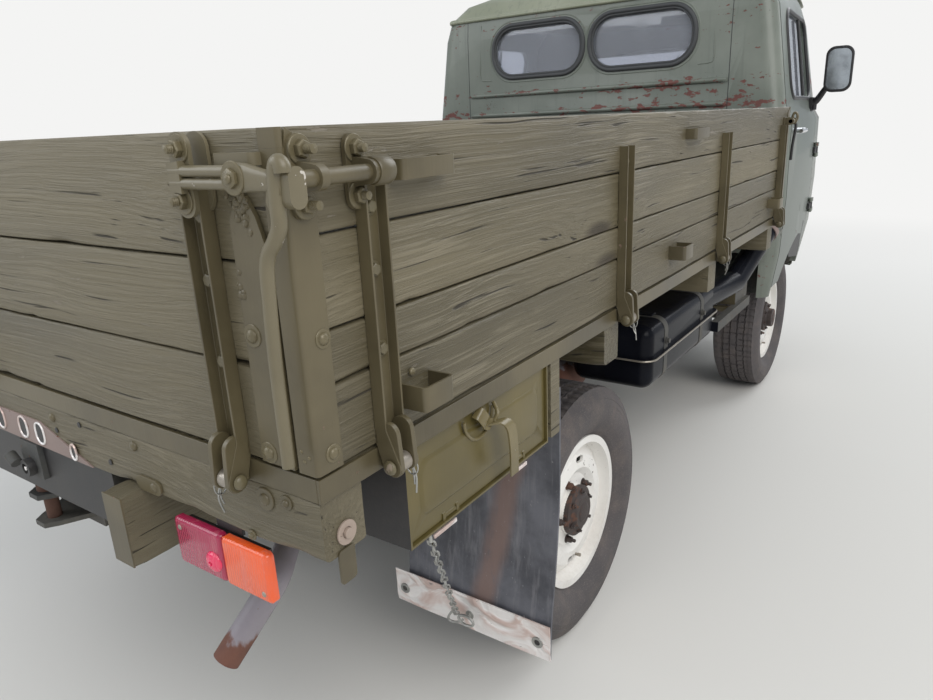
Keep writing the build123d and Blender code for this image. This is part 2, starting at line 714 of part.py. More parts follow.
# Cab: plan sections, columns: height, half width, rear x, front x, front corner radius
cab_sections = [
    (600, 905, 0, -85, 230), (800, 932, 0, -12, 250), (1050, 940, 0, 0, 260), (1370, 934, 0, -14, 260),
    (1425, 908, 0, -58, 250), (1840, 846, 4, -165, 230), (1935, 816, 14, -205, 230),
    (2005, 740, 60, -300, 230), (2048, 620, 150, -440, 220), (cab_height, 420, 330, -690, 200),
]
nose_bulge = 85.0
rear_corner = 70.0
side_taper = 110.0
hinge_share = (door_front_x - cab_rear_x) / (cab_nose_x - nose_bulge - cab_rear_x)
hinge_side_y = cab_half_width - side_taper * hinge_share ** 2


def cab_plan(z, half, rear, front, corner, inset):
    w = half - inset
    x0, x1 = cab_rear_x + rear + inset, cab_nose_x + front - inset
    end, middle = x1 - nose_bulge, (x0 + x1 - nose_bulge) / 2
    left = ThreePointArc((x0, w), (middle, w - side_taper / 4), (end, w - side_taper))
    right = ThreePointArc((end, side_taper - w), (middle, side_taper / 4 - w), (x0, -w))
    bow = ThreePointArc((end, w - side_taper), (x1, 0), (end, side_taper - w))
    face = make_face([Line((x0, -w), (x0, w)), left, bow, right])
    front_points = face.vertices().filter_by_position(Axis.X, x1 - nose_bulge - 1, x1)
    face = fillet(front_points, corner - inset)
    rear_points = face.vertices().filter_by_position(Axis.X, x0 - 1, x0 + 1)
    face = fillet(rear_points, rear_corner - inset)
    return Pos(0, 0, z) * face


def cab_form(inset):
    faces = []
    for z, half, rear, front, corner in cab_sections:
        height = z - 20 if inset and z == cab_sections[0][0] else z - (inset if z > 1850 else 0)
        faces.append(cab_plan(height, half, rear, front, corner, inset))
    return loft(faces, ruled=True)


def rear_window(side, grow):
    face = Plane.YZ * RectangleRounded(484 + 2 * grow, 228 + 2 * grow, 104 + grow)
    return Pos(cab_rear_x - 60, side * 269.5, 1759.5) * extrude(face, 200)


def windscreen_cut(grow):
    face = Plane.YZ * RectangleRounded(1280 + 2 * grow, 345 + 2 * grow, 90 + grow)
    return Pos(cab_nose_x - 420, 0, 1622) * extrude(face, 500)


def door_window(side, grow):
    face = Plane.XZ * RectangleRounded(640 + 2 * grow, 350 + 2 * grow, 70 + grow)
    cut = extrude(face, 400, dir=(0, 1, 0))
    cut = Pos((door_rear_x + door_front_x) / 2 + 20, 600, 1652) * cut
    return cut if side > 0 else other_side(cut)


def arch_cut(radius):
    return rod((front_axle_x, -1200, wheel_z), (front_axle_x, 1200, wheel_z), radius)


door_hinge_y = hinge_side_y + 10.0
door_hinge_x = door_front_x - door_gap / 2
door_hinges_z = (920.0, 1210.0)
knuckle_radius = 9.0
barrel_half = 15.0


def door_knuckle(side, z, moving):
    """One half of an outside door hinge; the moving half carries the bored barrel."""
    x, y = door_hinge_x, side * door_hinge_y
    near, far = side * (hinge_side_y - 14), side * (door_hinge_y + 4)
    if moving:
        low, high = z - barrel_half, z + barrel_half
        leaf = block(x - 55, x - 4, near, far, low, high)
        barrel = rod((x, y, low), (x, y, high), knuckle_radius)
        return leaf + barrel - rod((x, y, low - 5), (x, y, high + 5), 5 + running_gap)
    pieces = [rod((x, y, z - 38), (x, y, z + 38), 5)]
    for low, high in ((z - 36, z - barrel_half - seat_gap), (z + barrel_half + seat_gap, z + 36)):
        pieces += [block(x + 4.5, x + 55, near, far, low, high), rod((x, y, low), (x, y, high), knuckle_radius)]
    return joined(pieces)


def beside_doors():
    """Space along the doors' inner faces that floor and arch skins leave free."""
    return block(door_rear_x - 1, door_front_x + 1, -1000, 1000, 0, 1000) - cab_form(wall + 14)


def cab_floor():
    low, high = cab_floor_z, cab_floor_z + cab_floor_thickness
    plate = (cab_form(wall) & block(cab_rear_x, cab_nose_x, -1000, 1000, low, high)) - beside_doors()
    well = block(*cover_x, -cover_half + cover_wall, cover_half - cover_wall, low - 1, high + 1)
    hood = block(cover_x[0] - cover_wall, cover_x[1] + cover_wall, -cover_half, cover_half, low, cover_top)
    hood_inside = block(*cover_x, -cover_half + cover_wall, cover_half - cover_wall, low - 1, cover_top - cover_wall)
    return joined([plate - well, hood - hood_inside])


def cab_arches():
    """Skins over the front wheels; beside the doors they stop short of the doors' inner faces."""
    ring = (arch_cut(arch_radius + arch_skin) - arch_cut(arch_radius)) & cab_form(wall + 1)
    ring = ring - beside_doors()
    return [ring & block(front_axle_x - 500, front_axle_x + 500, s * 505, s * 1000, 300, cab_floor_z) for s in (-1, 1)]


cover_x = (front_axle_x - 280.0, front_axle_x + 450.0)
cover_half = 270.0
cover_wall = 5.0
cover_top = 1120.0


def bumper():
    low, high = bumper_z
    front, straight, reach, sweep_back = length / 2, 560, 735, 45

    def plan(inset, back):
        return [(front - inset, -straight), (front - inset, straight), (front - sweep_back - inset, reach),
                (back - sweep_back, reach), (back, straight), (back, -straight), (back - sweep_back, -reach),
                (front - sweep_back - inset, -reach)]
    outer = Pos(0, 0, low) * extrude(Polygon(*plan(0, front - bumper_depth), align=None), high - low)
    hollow = Polygon(*plan(bumper_wall, front - bumper_depth - 10), align=None)
    return outer - Pos(0, 0, low + bumper_wall) * extrude(hollow, high - low - 2 * bumper_wall)


lamp_centre = (600.0, 940.0)
lamp_radius = 91.0
signal_centre = (655.0, 1140.0)
signal_radius = 38.0
grille_size = (640.0, 230.0)
grille_z = 880.0
grille_bars = 6


def lamp_bowl(y, z, radius, ring, front):
    bowl = rod((cab_nose_x - 150, y, z), (cab_nose_x - front, y, z), radius)
    rim_ring = rod((cab_nose_x - front - 18, y, z), (cab_nose_x - front, y, z), radius + ring)
    return bowl + rim_ring


def lamp_holes():
    holes = []
    for s in (-1, 1):
        for (y, z), radius in ((lamp_centre, lamp_radius), (signal_centre, signal_radius)):
            holes.append(rod((cab_nose_x - 200, s * y, z), (cab_nose_x + 10, s * y, z), radius + seat_gap))
    return holes


def front_lamps():
    lamps = []
    for s in (-1, 1):
        lamps.append(lamp_bowl(s * lamp_centre[0], lamp_centre[1], lamp_radius, 12, 11))
        lamps.append(lamp_bowl(s * signal_centre[0], signal_centre[1], signal_radius, 8, 30))
    return lamps


def grille_cut(grow):
    face = Plane.YZ * RectangleRounded(grille_size[0] + 2 * grow, grille_size[1] + 2 * grow, 60 + grow)
    return Pos(cab_nose_x - 120, 0, grille_z) * extrude(face, 200)


def grille():
    skin = cab_form(8) - cab_form(14)
    sheet = skin & grille_cut(-seat_gap)
    pitch = grille_size[1] / grille_bars
    gaps = [block(cab_nose_x - 200, cab_nose_x + 20, y - 135, y + 135, grille_z + (i - 2.5) * pitch - 11,
                  grille_z + (i - 2.5) * pitch + 11) for i in range(grille_bars) for y in (-150, 150)]
    for gap in gaps:
        sheet = sheet - gap
    return sheet


seat_y = 560.0
seat_width = 470.0
seat_top = 1120.0


backrest_lean = 0.15
backrest_foot_z = seat_top - 160.0
backrest_foot_x = front_axle_x - 390.0


def backrest_line(z):
    return backrest_foot_x - backrest_lean * (z - backrest_foot_z)


def seat_frames():
    frames = []
    for s in (-1, 1):
        y0, y1 = s * (seat_y - 200), s * (seat_y + 200)
        low, high, top = cab_floor_z + cab_floor_thickness, seat_top - 130, 1560
        base = block(backrest_foot_x, backrest_foot_x + 450, y0, y1, low, high)
        outline = [(backrest_foot_x - 20, backrest_foot_z), (backrest_foot_x, backrest_foot_z),
                   (backrest_line(top), top), (backrest_line(top) - 20, top)]
        frames.append(base + along_y(outline, s * (seat_y - 190), s * (seat_y + 190)))
    return frames


def seat_cushions():
    cushions = []
    low, high, thickness = seat_top + 6, 1620, 100
    for s in (-1, 1):
        y0, y1 = s * (seat_y - seat_width / 2), s * (seat_y + seat_width / 2)
        cushion = block(backrest_foot_x + 30, backrest_foot_x + 480, y0, y1, seat_top - 130 + seat_gap, seat_top)
        cushions.append(fillet(cushion.edges(), 30))
        face = seat_gap + 0.1
        outline = [(backrest_line(low) + face, low), (backrest_line(low) + thickness, low),
                   (backrest_line(high) + thickness, high), (backrest_line(high) + face, high)]
        cushions.append(fillet(along_y(outline, y0, y1).edges(), 18))
    return cushions


dash_z = (1210.0, 1370.0)


def dashboard():
    shelf = block(cab_nose_x - 330, cab_nose_x - 40, -900, 900, dash_z[0], dash_z[1])
    return cab_form(wall + 0.3) & shelf


column_foot = (front_axle_x + 640.0, 520.0, cab_floor_z + cab_floor_thickness)
column_head = (front_axle_x + 370.0, 520.0, 1330.0)
wheel_rim_radius = 200.0
column_radius = 20.0


def steering_column():
    foot, head = Vector(*column_foot), Vector(*column_head)
    axis = (head - foot).normalized()
    spindle = rod(column_head, tuple(head + axis * 28), 8)
    dash_cut = rod(column_foot, column_head, column_radius + seat_gap)
    return rod(column_foot, column_head, column_radius) + spindle, dash_cut


def steering_wheel():
    foot, head = Vector(*column_foot), Vector(*column_head)
    axis = (head - foot).normalized()
    plane = Plane(origin=head + axis * (18 + seat_gap), z_dir=axis)
    ring = plane * Torus(wheel_rim_radius, 12)
    hub = plane * Cylinder(34, 36)
    bore = Plane(origin=head, z_dir=axis) * Cylinder(8 + running_gap, 60)
    spokes = [plane * Rot(0, 0, angle) * Pos(wheel_rim_radius / 2, 0, 0) * Box(wheel_rim_radius, 22, 8)
              for angle in (0, 120, 240)]
    return joined([ring, hub] + spokes) - bore


mirror_head = (door_front_x - 150.0, 996.0, 1598.0)
mirror_foot = (door_front_x - 90.0, 1440.0)


def mirror_set(side, door_form):
    hx, hy, hz = mirror_head
    fx, fz = mirror_foot
    head = fillet(block(hx - 16, hx + 16, hy - 62, hy + 62, hz - 105, hz + 105).edges().filter_by(Axis.X), 30)
    base = block(fx - 30, fx + 30, 835, 885, fz - 35, fz + 35)
    low, high = (hx + 30, hy - 50, hz - 55), (hx + 30, hy - 15, hz)
    arm = [rod((fx, 875, fz), low, 10), Pos(*low) * Sphere(10), rod(low, high, 10), Pos(*high) * Sphere(10),
           rod((hx, hy - 15, hz), high, 10)]
    whole = joined([head, base] + arm)
    whole = whole if side > 0 else other_side(whole)
    return whole - door_form


ribs_z = (1557.0, 1458.0)
rib_half_width = 668.0
handle_x = door_rear_x + 92.0
handle_z = 1330.0


def rear_ribs():
    return [block(cab_rear_x - 5, cab_rear_x + 12, -rib_half_width, rib_half_width, z - 9, z + 9) for z in ribs_z]


def drip_rail():
    """Gutter round the roof just above the doors."""
    return (cab_form(-9) - cab_form(4)) & block(-3000, 3000, -3000, 3000, roof_split_z + 1, roof_split_z + 9)


def door_handle(side):
    x, y, z = handle_x, side * (cab_half_width + 28), handle_z
    bar = rod((x - 52, y, z), (x + 60, y, z), 8)
    feet = [rod((foot, side * (cab_half_width - 16), z), (foot, y, z), 11) for foot in (x - 34, x + 44)]
    return joined([bar] + feet)


def main():
    os.makedirs("parts", exist_ok=True)
    corners = [("front_left", front_axle_x, 1, 104), ("front_right", front_axle_x, -1, 104),
               ("rear_left", rear_axle_x, 1, 84), ("rear_right", rear_axle_x, -1, 84)]
    for name, x, side, hub_reach in corners:
        save(f"tyre_{name}", tyre(x, side))
        save(f"rim_{name}", rim(x, side, hub_reach))
    save("rear_axle", rear_axle())
    save("front_axle", front_axle())
    save("knuckle_left", knuckle(1))
    save("knuckle_right", knuckle(-1))
    save("leaf_springs", [leaf_spring(x, s, z) for x, z in ((rear_axle_x, spring_end_rear),
                                                            (front_axle_x, spring_end_front)) for s in (-1, 1)])
    save("frame", frame())
    save("tow_fork", tow_fork())
    save("tow_pin", tow_pin())
    save("engine_block", engine_block())
    save("prop_shafts", prop_shafts())
    save("fuel_tanks", [fuel_tank(-1), fuel_tank(1)])
    save("exhaust", exhaust())
    save("toolbox", toolbox())
    save("toolbox_lid", toolbox_lid())
    save("mudflaps", [mudflap(-1), mudflap(1)])
    save("flap_chain", flap_chain())
    save("bed_floor", bed_floor())
    save("bed_beams", bed_beams())
    save("bed_rails", bed_rails())
    save("front_board", front_board())
    for name, side in (("left", 1), ("right", -1)):
        save(f"side_boards_{name}", side_boards(side))
        save(f"side_straps_{name}", side_straps(side))
    save("tailgate_boards", tailgate_boards())
    save("tailgate_straps", tailgate_straps())
    save("rear_lamps", [rear_lamp(-1), rear_lamp(1)])

    shell = cab_form(0) - cab_form(wall) - arch_cut(arch_radius + arch_skin + 4)
    glass = cab_form(wall / 2) - cab_form(wall / 2 + glass_thickness)
    far = 3000
    roof = shell & block(-far, far, -far, far, roof_split_z, far)
    lower = shell & block(-far, far, -far, far, 0, roof_split_z)
    lower = lower - rear_window(1, 0) - rear_window(-1, 0) - windscreen_cut(0) - grille_cut(0)
    lower = lower - block(-far, cab_rear_x + 200, -860, 860, 0, cab_floor_z)
    for hole in lamp_holes():
        lower = lower - hole
    save("cab_roof", joined([roof, drip_rail()]))
    rear_wall = lower & block(-far, door_rear_x, -far, far, 0, far)
    save("cab_rear_wall", joined([rear_wall] + rear_ribs()))
    nose = lower & block(door_front_x, far, -far, far, 0, far)
    save("cab_nose", joined([nose] + [door_knuckle(s, z, False) for s in (-1, 1) for z in door_hinges_z]))
    panes = [glass & rear_window(1, -seat_gap), glass & rear_window(-1, -seat_gap), glass & windscreen_cut(-seat_gap)]
    save("cab_glass", panes)
    for name, side in (("left", 1), ("right", -1)):
        space = block(door_rear_x + door_gap, door_front_x - door_gap, side * 300, side * 1200,
                      door_bottom, roof_split_z - door_gap)
        door = (shell & space) - door_window(side, 0)
        knuckles = [door_knuckle(side, z, True) for z in door_hinges_z]
        save(f"door_{name}", joined([door, door_handle(side)] + knuckles))
        save(f"door_glass_{name}", glass & door_window(side, -seat_gap))
        save(f"mirror_{name}", mirror_set(side, cab_form(-seat_gap)))
    column, column_hole = steering_column()
    save("cab_floor", cab_floor() + column)
    save("cab_arches", cab_arches())
    save("dashboard", dashboard() - column_hole)
    save("steering_wheel", steering_wheel())
    save("seat_frames", seat_frames())
    save("seat_cushions", seat_cushions())
    save("bumper", bumper())
    save("front_lamps", front_lamps())
    save("grille", grille())


if __name__ == "__main__":
    main()
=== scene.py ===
import math
import bmesh
import bpy
import numpy as np
from mathutils import Matrix, Vector


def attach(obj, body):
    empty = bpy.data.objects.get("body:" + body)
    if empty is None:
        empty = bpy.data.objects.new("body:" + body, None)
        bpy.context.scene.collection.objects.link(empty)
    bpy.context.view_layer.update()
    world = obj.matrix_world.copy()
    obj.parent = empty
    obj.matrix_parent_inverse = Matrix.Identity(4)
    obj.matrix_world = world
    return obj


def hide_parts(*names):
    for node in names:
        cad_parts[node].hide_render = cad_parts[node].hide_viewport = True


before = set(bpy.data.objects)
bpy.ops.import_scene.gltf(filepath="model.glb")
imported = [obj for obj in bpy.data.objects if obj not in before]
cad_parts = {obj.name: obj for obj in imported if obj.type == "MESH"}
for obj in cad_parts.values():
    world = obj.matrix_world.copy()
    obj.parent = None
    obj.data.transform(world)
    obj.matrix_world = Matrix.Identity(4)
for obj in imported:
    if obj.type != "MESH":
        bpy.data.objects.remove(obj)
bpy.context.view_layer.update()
print("frame loaded")

# ---- lengths in metres, +X forward, +Y left, +Z up


def toned(red, green, blue, alpha=1.0):   # colour given on a 0..255 screen scale, turned linear
    return tuple(((c / 255 + 0.055) / 1.055) ** 2.4 if c > 10 else c / 3294
        for c in (red, green, blue)) + (alpha,)


view = {"place": (-2.712, -1.575, 1.426), "yaw": 35.06, "pitch": -17.79, "roll": -2.63, "lens": 27.28,
    "sensor": 36.0}


def addCamera(size):   # looks along yaw and pitch, then turns about that line by roll
    yaw, pitch, roll = (math.radians(size[key]) for key in ("yaw", "pitch", "roll"))
    ahead = Vector((math.cos(yaw) * math.cos(pitch), math.sin(yaw) * math.cos(pitch), math.sin(pitch)))
    level = Vector((math.sin(yaw), -math.cos(yaw), 0.0))
    up = level.cross(ahead)
    right = level * math.cos(roll) + up * math.sin(roll)
    over = up * math.cos(roll) - level * math.sin(roll)
    data = bpy.data.cameras.new("camera")
    data.lens, data.sensor_width = size["lens"], size["sensor"]
    data.clip_start, data.clip_end = 0.02, 200.0
    camera = bpy.data.objects.new("camera", data)
    turn = Matrix((right, over, -ahead)).transposed().to_4x4()
    camera.matrix_world = Matrix.Translation(size["place"]) @ turn
    bpy.context.scene.collection.objects.link(camera)
    bpy.context.scene.camera = camera


studio = {"sky": toned(232, 238, 246), "skyStrength": 0.62, "backdrop": toned(244, 244, 243),
    "floor": toned(214, 212, 207), "floorHalf": 60.0, "fade": (3.2, 8.5),
    # columns: place, size, power, colour
    "lamps": (((-3.5, -5.5, 5.5), 5.0, 330.0, (1.0, 0.98, 0.95)),
    ((-5.5, 4.0, 5.0), 5.0, 230.0, (0.94, 0.97, 1.0)), ((5.5, -2.5, 5.5), 5.0, 260.0, (0.96, 0.98, 1.0)))}


def dimmed(colour, share):
    return tuple(c * share for c in colour[:3]) + (1.0,)


paint = {"tree": None}   # the node tree that put() adds to


def fill(node, values):   # sets or links a node's sockets
    for key, value in values.items():
        if isinstance(value, bpy.types.NodeSocket):
            paint["tree"].links.new(value, node.inputs[key])
        else:
            node.inputs[key].default_value = value


def put(kind, values=None, **settings):   # one shader node of the current tree
    node = paint["tree"].nodes.new("ShaderNode" + kind)
    for key, value in settings.items():
        setattr(node, key, value)
    fill(node, values or {})
    return node


def addStudio(size):
    scene = bpy.context.scene
    scene.view_settings.view_transform = "Standard"
    world = bpy.data.worlds.new("studio")
    scene.world = world
    world.use_nodes = True
    paint["tree"] = world.node_tree
    world.node_tree.nodes.clear()
    path = put("LightPath")
    seen = put("Math", {0: path.outputs["Is Camera Ray"], 1: path.outputs["Is Transmission Ray"]},
        operation="MAXIMUM")
    sky = put("Background", {"Color": size["sky"], "Strength": size["skyStrength"]})
    plain = put("Background", {"Color": size["backdrop"], "Strength": 1.0})
    both = put("MixShader", {0: seen.outputs[0], 1: sky.outputs[0], 2: plain.outputs[0]})
    put("OutputWorld", {"Surface": both.outputs[0]})
    for number, (place, side, power, colour) in enumerate(size["lamps"]):
        lamp = bpy.data.lights.new(f"softbox{number}", "AREA")
        lamp.size, lamp.energy, lamp.color = side, power, colour
        holder = bpy.data.objects.new(f"softbox{number}", lamp)
        holder.matrix_world = Matrix.Translation(place) @ (-Vector(place)).to_track_quat("-Z",
            "Y").to_matrix().to_4x4()
        scene.collection.objects.link(holder)
    half = size["floorHalf"]
    mesh = bpy.data.meshes.new("floor")
    mesh.from_pydata([(-half, -half, 0), (half, -half, 0), (half, half, 0), (-half, half, 0)], [],
        [(0, 1, 2, 3)])
    floor = bpy.data.objects.new("floor", mesh)
    scene.collection.objects.link(floor)
    finish = bpy.data.materials.new("paleFloor")
    finish.use_nodes = True
    paint["tree"] = finish.node_tree
    shader = finish.node_tree.nodes["Principled BSDF"]
    fill(shader, {"Base Color": size["floor"], "Roughness": 0.9})
    place = put("TexCoord").outputs["Object"]
    away = put("VectorMath", {0: place}, operation="LENGTH").outputs["Value"]
    fade = put("MapRange", {"Value": away, "From Min": size["fade"][0], "From Max": size["fade"][1]},
        interpolation_type="SMOOTHSTEP").outputs[0]
    glow = put("Emission", {"Color": size["backdrop"], "Strength": 1.0})
    both = put("MixShader", {0: fade, 1: shader.outputs[0], 2: glow.outputs[0]})
    fill(finish.node_tree.nodes["Material Output"], {"Surface": both.outputs[0]})
    mesh.materials.append(finish)


addCamera(view)
addStudio(studio)
print("camera and studio ready")

# ---- shader groups, shared by several finishes


def group(name, inputs, outputs):   # inputs: label, kind, default
    tree = paint["tree"] = bpy.data.node_groups.new(name, "ShaderNodeTree")
    for label, kind, value in inputs:
        socket = tree.interface.new_socket(label, in_out="INPUT", socket_type="NodeSocket" + kind)
        if value is not None:
            socket.default_value = value
    for label, kind in outputs:
        tree.interface.new_socket(label, in_out="OUTPUT", socket_type="NodeSocket" + kind)
    return tree.nodes.new("NodeGroupInput").outputs, tree.nodes.new("NodeGroupOutput")


def math2(operation, first, second=0.0, clamp=False):
    return put("Math", {0: first, 1: second}, operation=operation, use_clamp=clamp).outputs[0]


def times(first, second, clamp=False):
    return math2("MULTIPLY", first, second, clamp)


def plus(first, second, clamp=False):
    return math2("ADD", first, second, clamp)


def minus(first, second):
    return math2("SUBTRACT", first, second)


def away(value, middle):   # distance of a value from a middle, either side
    return math2("ABSOLUTE", minus(value, middle))


def band(value, low, high):   # smooth 0..1 between two levels; reversed if high is below low
    return put("MapRange", {"Value": value, "From Min": low, "From Max": high},
        interpolation_type="SMOOTHSTEP").outputs[0]


def mixed(factor, first, second, blend="MIX"):
    return put("Mix", {0: factor, 6: first, 7: second}, data_type="RGBA", blend_type=blend).outputs[2]


def stretched(vector, scale, turn=(0.0, 0.0, 0.0), shift=(0.0, 0.0, 0.0)):
    return put("Mapping", {"Vector": vector, "Scale": scale, "Rotation": turn, "Location": shift}).outputs[0]


def noise(vector, scale, detail=4.0, rough=0.55, warp=0.0):
    return put("TexNoise",
        {"Vector": vector, "Scale": scale, "Detail": detail, "Roughness": rough,
        "Distortion": warp}).outputs[0]


def useGroup(name, values):
    node = put("Group", node_tree=bpy.data.node_groups[name])
    fill(node, values)
    return node.outputs


def groupFlakes():   # paint chips: small spots inside larger patches, with a raised edge
    given, out = group("flakes",
        [("Vector", "Vector", None), ("Scale", "Float", 40.0), ("Amount", "Float", 0.3)],
        [("Mask", "Float"), ("Height", "Float")])
    patch = noise(given["Vector"], 3.0, 3.0)
    spot = noise(given["Vector"], given["Scale"], 5.0, 0.62)
    both = put("Math", {0: patch, 1: 0.55, 2: spot}, operation="MULTIPLY_ADD").outputs[0]
    level = minus(1.12, times(given["Amount"], 0.36))
    over = minus(both, level)
    mask = band(over, 0.0, 0.012)
    edge = band(over, -0.03, 0.0)
    fill(out, {"Mask": mask, "Height": minus(times(edge, 0.25), mask)})


def groupDirt():   # splashed dirt: thick low down, thin above, broken into clouds
    given, out = group("roadDirt",
        [("Vector", "Vector", None), ("Top", "Float", 0.8), ("Amount", "Float", 0.5)], [("Mask", "Float")])
    height = put("SeparateXYZ", {0: given["Vector"]}).outputs["Z"]
    share = math2("DIVIDE", height, given["Top"])
    low = band(share, 1.0, 0.0)
    cloud = band(noise(given["Vector"], 5.0, 6.0, 0.62), 0.3, 0.75)
    speck = band(noise(given["Vector"], 90.0, 3.0, 0.7), 0.42, 0.68)
    grit = plus(times(cloud, 0.7), times(speck, 0.3))
    total = times(times(plus(low, 0.12), grit), given["Amount"], True)
    fill(out, {"Mask": total})


def groupBrush():   # streaks of a wide paint brush, long in the stretched vector's first axis
    given, out = group("brushStreaks", [("Vector", "Vector", None), ("Width", "Float", 90.0)],
        [("Streak", "Float"), ("Height", "Float")])
    fine = noise(given["Vector"], given["Width"], 3.0, 0.6)
    broad = noise(given["Vector"], 9.0, 2.0)
    fill(out, {"Streak": broad, "Height": fine})


def groupTimber():   # pine along X: fine lines across the run, bent round scattered knots
    given, out = group("timber", [("Vector", "Vector", None), ("Seed", "Float", 0.0)],
        [("Grain", "Float"), ("Crack", "Float"), ("Knot", "Float"), ("Tone", "Float"), ("Height", "Float")])
    shift = put("CombineXYZ", {0: given["Seed"], 1: times(given["Seed"], 3.7), 2: 0.0}).outputs[0]
    place = put("VectorMath", {0: given["Vector"], 1: shift}, operation="ADD").outputs[0]
    knotCell = put("TexVoronoi",
        {"Vector": stretched(place, (1.3, 5.0, 5.0)), "Scale": 1.0, "Randomness": 1.0})
    knot = band(knotCell.outputs["Distance"], 0.11, 0.03)
    halo = band(knotCell.outputs["Distance"], 0.42, 0.0)
    bend = times(halo, 0.03)
    sway = times(minus(noise(stretched(place, (1.6, 3.0, 3.0)), 1.0, 2.0), 0.5), 0.045)
    lift = put("CombineXYZ", {0: 0.0, 1: plus(bend, sway), 2: plus(bend, sway)}).outputs[0]
    bent = put("VectorMath", {0: place, 1: lift}, operation="ADD").outputs[0]
    rings = noise(stretched(bent, (1.6, 165.0, 165.0)), 1.0, 5.0, 0.62)
    fibre = noise(stretched(bent, (9.0, 430.0, 430.0)), 1.0, 3.0, 0.6)
    split = noise(stretched(bent, (2.2, 120.0, 120.0)), 1.0, 2.0, 0.5)
    crack = math2("MAXIMUM", band(split, 0.335, 0.27), times(knot, 0.7))
    tone = noise(stretched(place, (0.8, 4.0, 4.0)), 1.0, 4.0, 0.6)
    line = band(rings, 0.36, 0.66)
    high = plus(times(line, 0.55), times(fibre, 0.35))
    high = minus(high, times(crack, 1.3))
    fill(out, {"Grain": line, "Crack": crack, "Knot": knot, "Tone": tone, "Height": high})


def groupRust():   # mottled oxide: colour, cover and a scaly relief
    given, out = group("oxide",
        [("Vector", "Vector", None), ("Scale", "Float", 30.0), ("Amount", "Float", 0.5)],
        [("Color", "Color"), ("Mask", "Float"), ("Height", "Float")])
    cloud = noise(given["Vector"], 6.0, 5.0, 0.6)
    scale = noise(given["Vector"], given["Scale"], 6.0, 0.7)
    mix = plus(times(cloud, 0.6), times(scale, 0.4))
    level = minus(0.72, times(given["Amount"], 0.4))
    over = minus(mix, level)
    mask = band(over, 0.0, 0.05)
    light = mixed(scale, toned(66, 46, 40), toned(122, 86, 66))
    fill(out, {"Color": mixed(cloud, light, toned(82, 60, 52)), "Mask": mask, "Height": scale})


for build in (groupFlakes, groupDirt, groupBrush, groupTimber, groupRust):
    build()
print("shader groups ready")

# ---- finishes


def finish(name, build):   # build(place) gives the shader's sockets; Relief is (height, depth) of a bump
    material = bpy.data.materials.new(name)
    material.use_nodes = True
    paint["tree"] = material.node_tree
    material.node_tree.nodes.clear()
    shader = put("BsdfPrincipled")
    place = put("TexCoord").outputs["Object"]
    sockets = build(place)
    if "Relief" in sockets:
        height, depth = sockets.pop("Relief")
        sockets["Normal"] = put("Bump", {"Height": height, "Distance": depth, "Strength": 1.0}).outputs[0]
    fill(shader, sockets)
    put("OutputMaterial", {"Surface": shader.outputs[0]})
    return material


quarterTurn = math.pi / 2
# worn: paler paint along the grain, partly real wear and partly a painted highlight of the boards' semi-gloss
# sheen
timberTones = {"paint": toned(105, 97, 76), "paintDark": toned(82, 75, 55), "worn": toned(134, 126, 106),
    "bare": toned(120, 112, 98), "crack": toned(40, 35, 26), "knot": toned(70, 58, 44), "depth": 0.0017}


def paintedTimber(name, turn, tones, wear):
    def build(place):
        seed = put("Attribute", attribute_name="plankSeed").outputs["Fac"]
        along = stretched(place, (1.0, 1.0, 1.0), (0.0, 0.0, turn))
        grain = useGroup("timber", {"Vector": along, "Seed": seed})
        coat = mixed(band(grain["Tone"], 0.3, 0.7), tones["paintDark"], tones["paint"])
        each = put("MapRange",
            {"Value": math2("FRACT", times(seed, 0.37)), "To Min": 0.8, "To Max": 1.12}).outputs[0]
        coat = mixed(1.0, coat, put("CombineColor", {0: each, 1: each, 2: each}).outputs[0], "MULTIPLY")
        # paler streaks along the grain: worn paint with painted sheen highlights mixed in
        grainWearAndSheen = times(band(grain["Grain"], 0.35, 1.0), wear)
        patchy = band(noise(along, 2.3, 4.0), 0.38, 0.72)
        colour = mixed(times(grainWearAndSheen, plus(patchy, 0.25), True), coat, tones["worn"])
        flake = useGroup("flakes",
            {"Vector": stretched(along, (0.35, 1.6, 1.6)), "Scale": 30.0, "Amount": 0.42})
        colour = mixed(times(flake["Mask"], 0.75), colour, tones["bare"])
        colour = mixed(times(grain["Knot"], 0.55), colour, tones["knot"])
        colour = mixed(times(grain["Crack"], 0.85), colour, tones["crack"])
        brush = useGroup("brushStreaks", {"Vector": stretched(along, (0.06, 1.0, 1.0)), "Width": 150.0})
        gloss = plus(0.36, times(band(grain["Tone"], 0.25, 0.75), 0.24))
        gloss = plus(gloss, times(grain["Crack"], 0.3), True)
        high = plus(grain["Height"], times(brush["Height"], 0.3))
        high = plus(high, times(flake["Height"], 0.35))
        return {"Base Color": colour, "Roughness": gloss, "Relief": (high, tones["depth"]),
            "Specular IOR Level": 0.5}
    return finish(name, build)


def paintedSteel(name, coat, shade, primer, chips, gloss, streak=1.0, dirtTop=0.9, dirtShare=0.3,
        dust=toned(132, 124, 108), shine=0.5):
    def build(place):
        cloud = noise(place, 4.0, 4.0)
        brush = useGroup("brushStreaks", {"Vector": stretched(place, (1.0, 1.0, 0.09)), "Width": 130.0})
        colour = mixed(band(cloud, 0.3, 0.7), shade, coat)
        colour = mixed(times(brush["Streak"], 0.25), colour, shade)
        flake = useGroup("flakes", {"Vector": place, "Scale": 46.0, "Amount": chips})
        colour = mixed(flake["Mask"], colour, primer)
        dirt = useGroup("roadDirt", {"Vector": place, "Top": dirtTop, "Amount": dirtShare})["Mask"]
        colour = mixed(dirt, colour, dust)
        rough = plus(gloss, times(cloud, 0.16))
        rough = plus(rough, times(math2("MAXIMUM", dirt, flake["Mask"]), 0.35), True)
        high = plus(times(brush["Height"], 0.35 * streak), flake["Height"])
        return {"Base Color": colour, "Roughness": rough, "Relief": (high, 0.0006),
            "Specular IOR Level": shine}
    return finish(name, build)


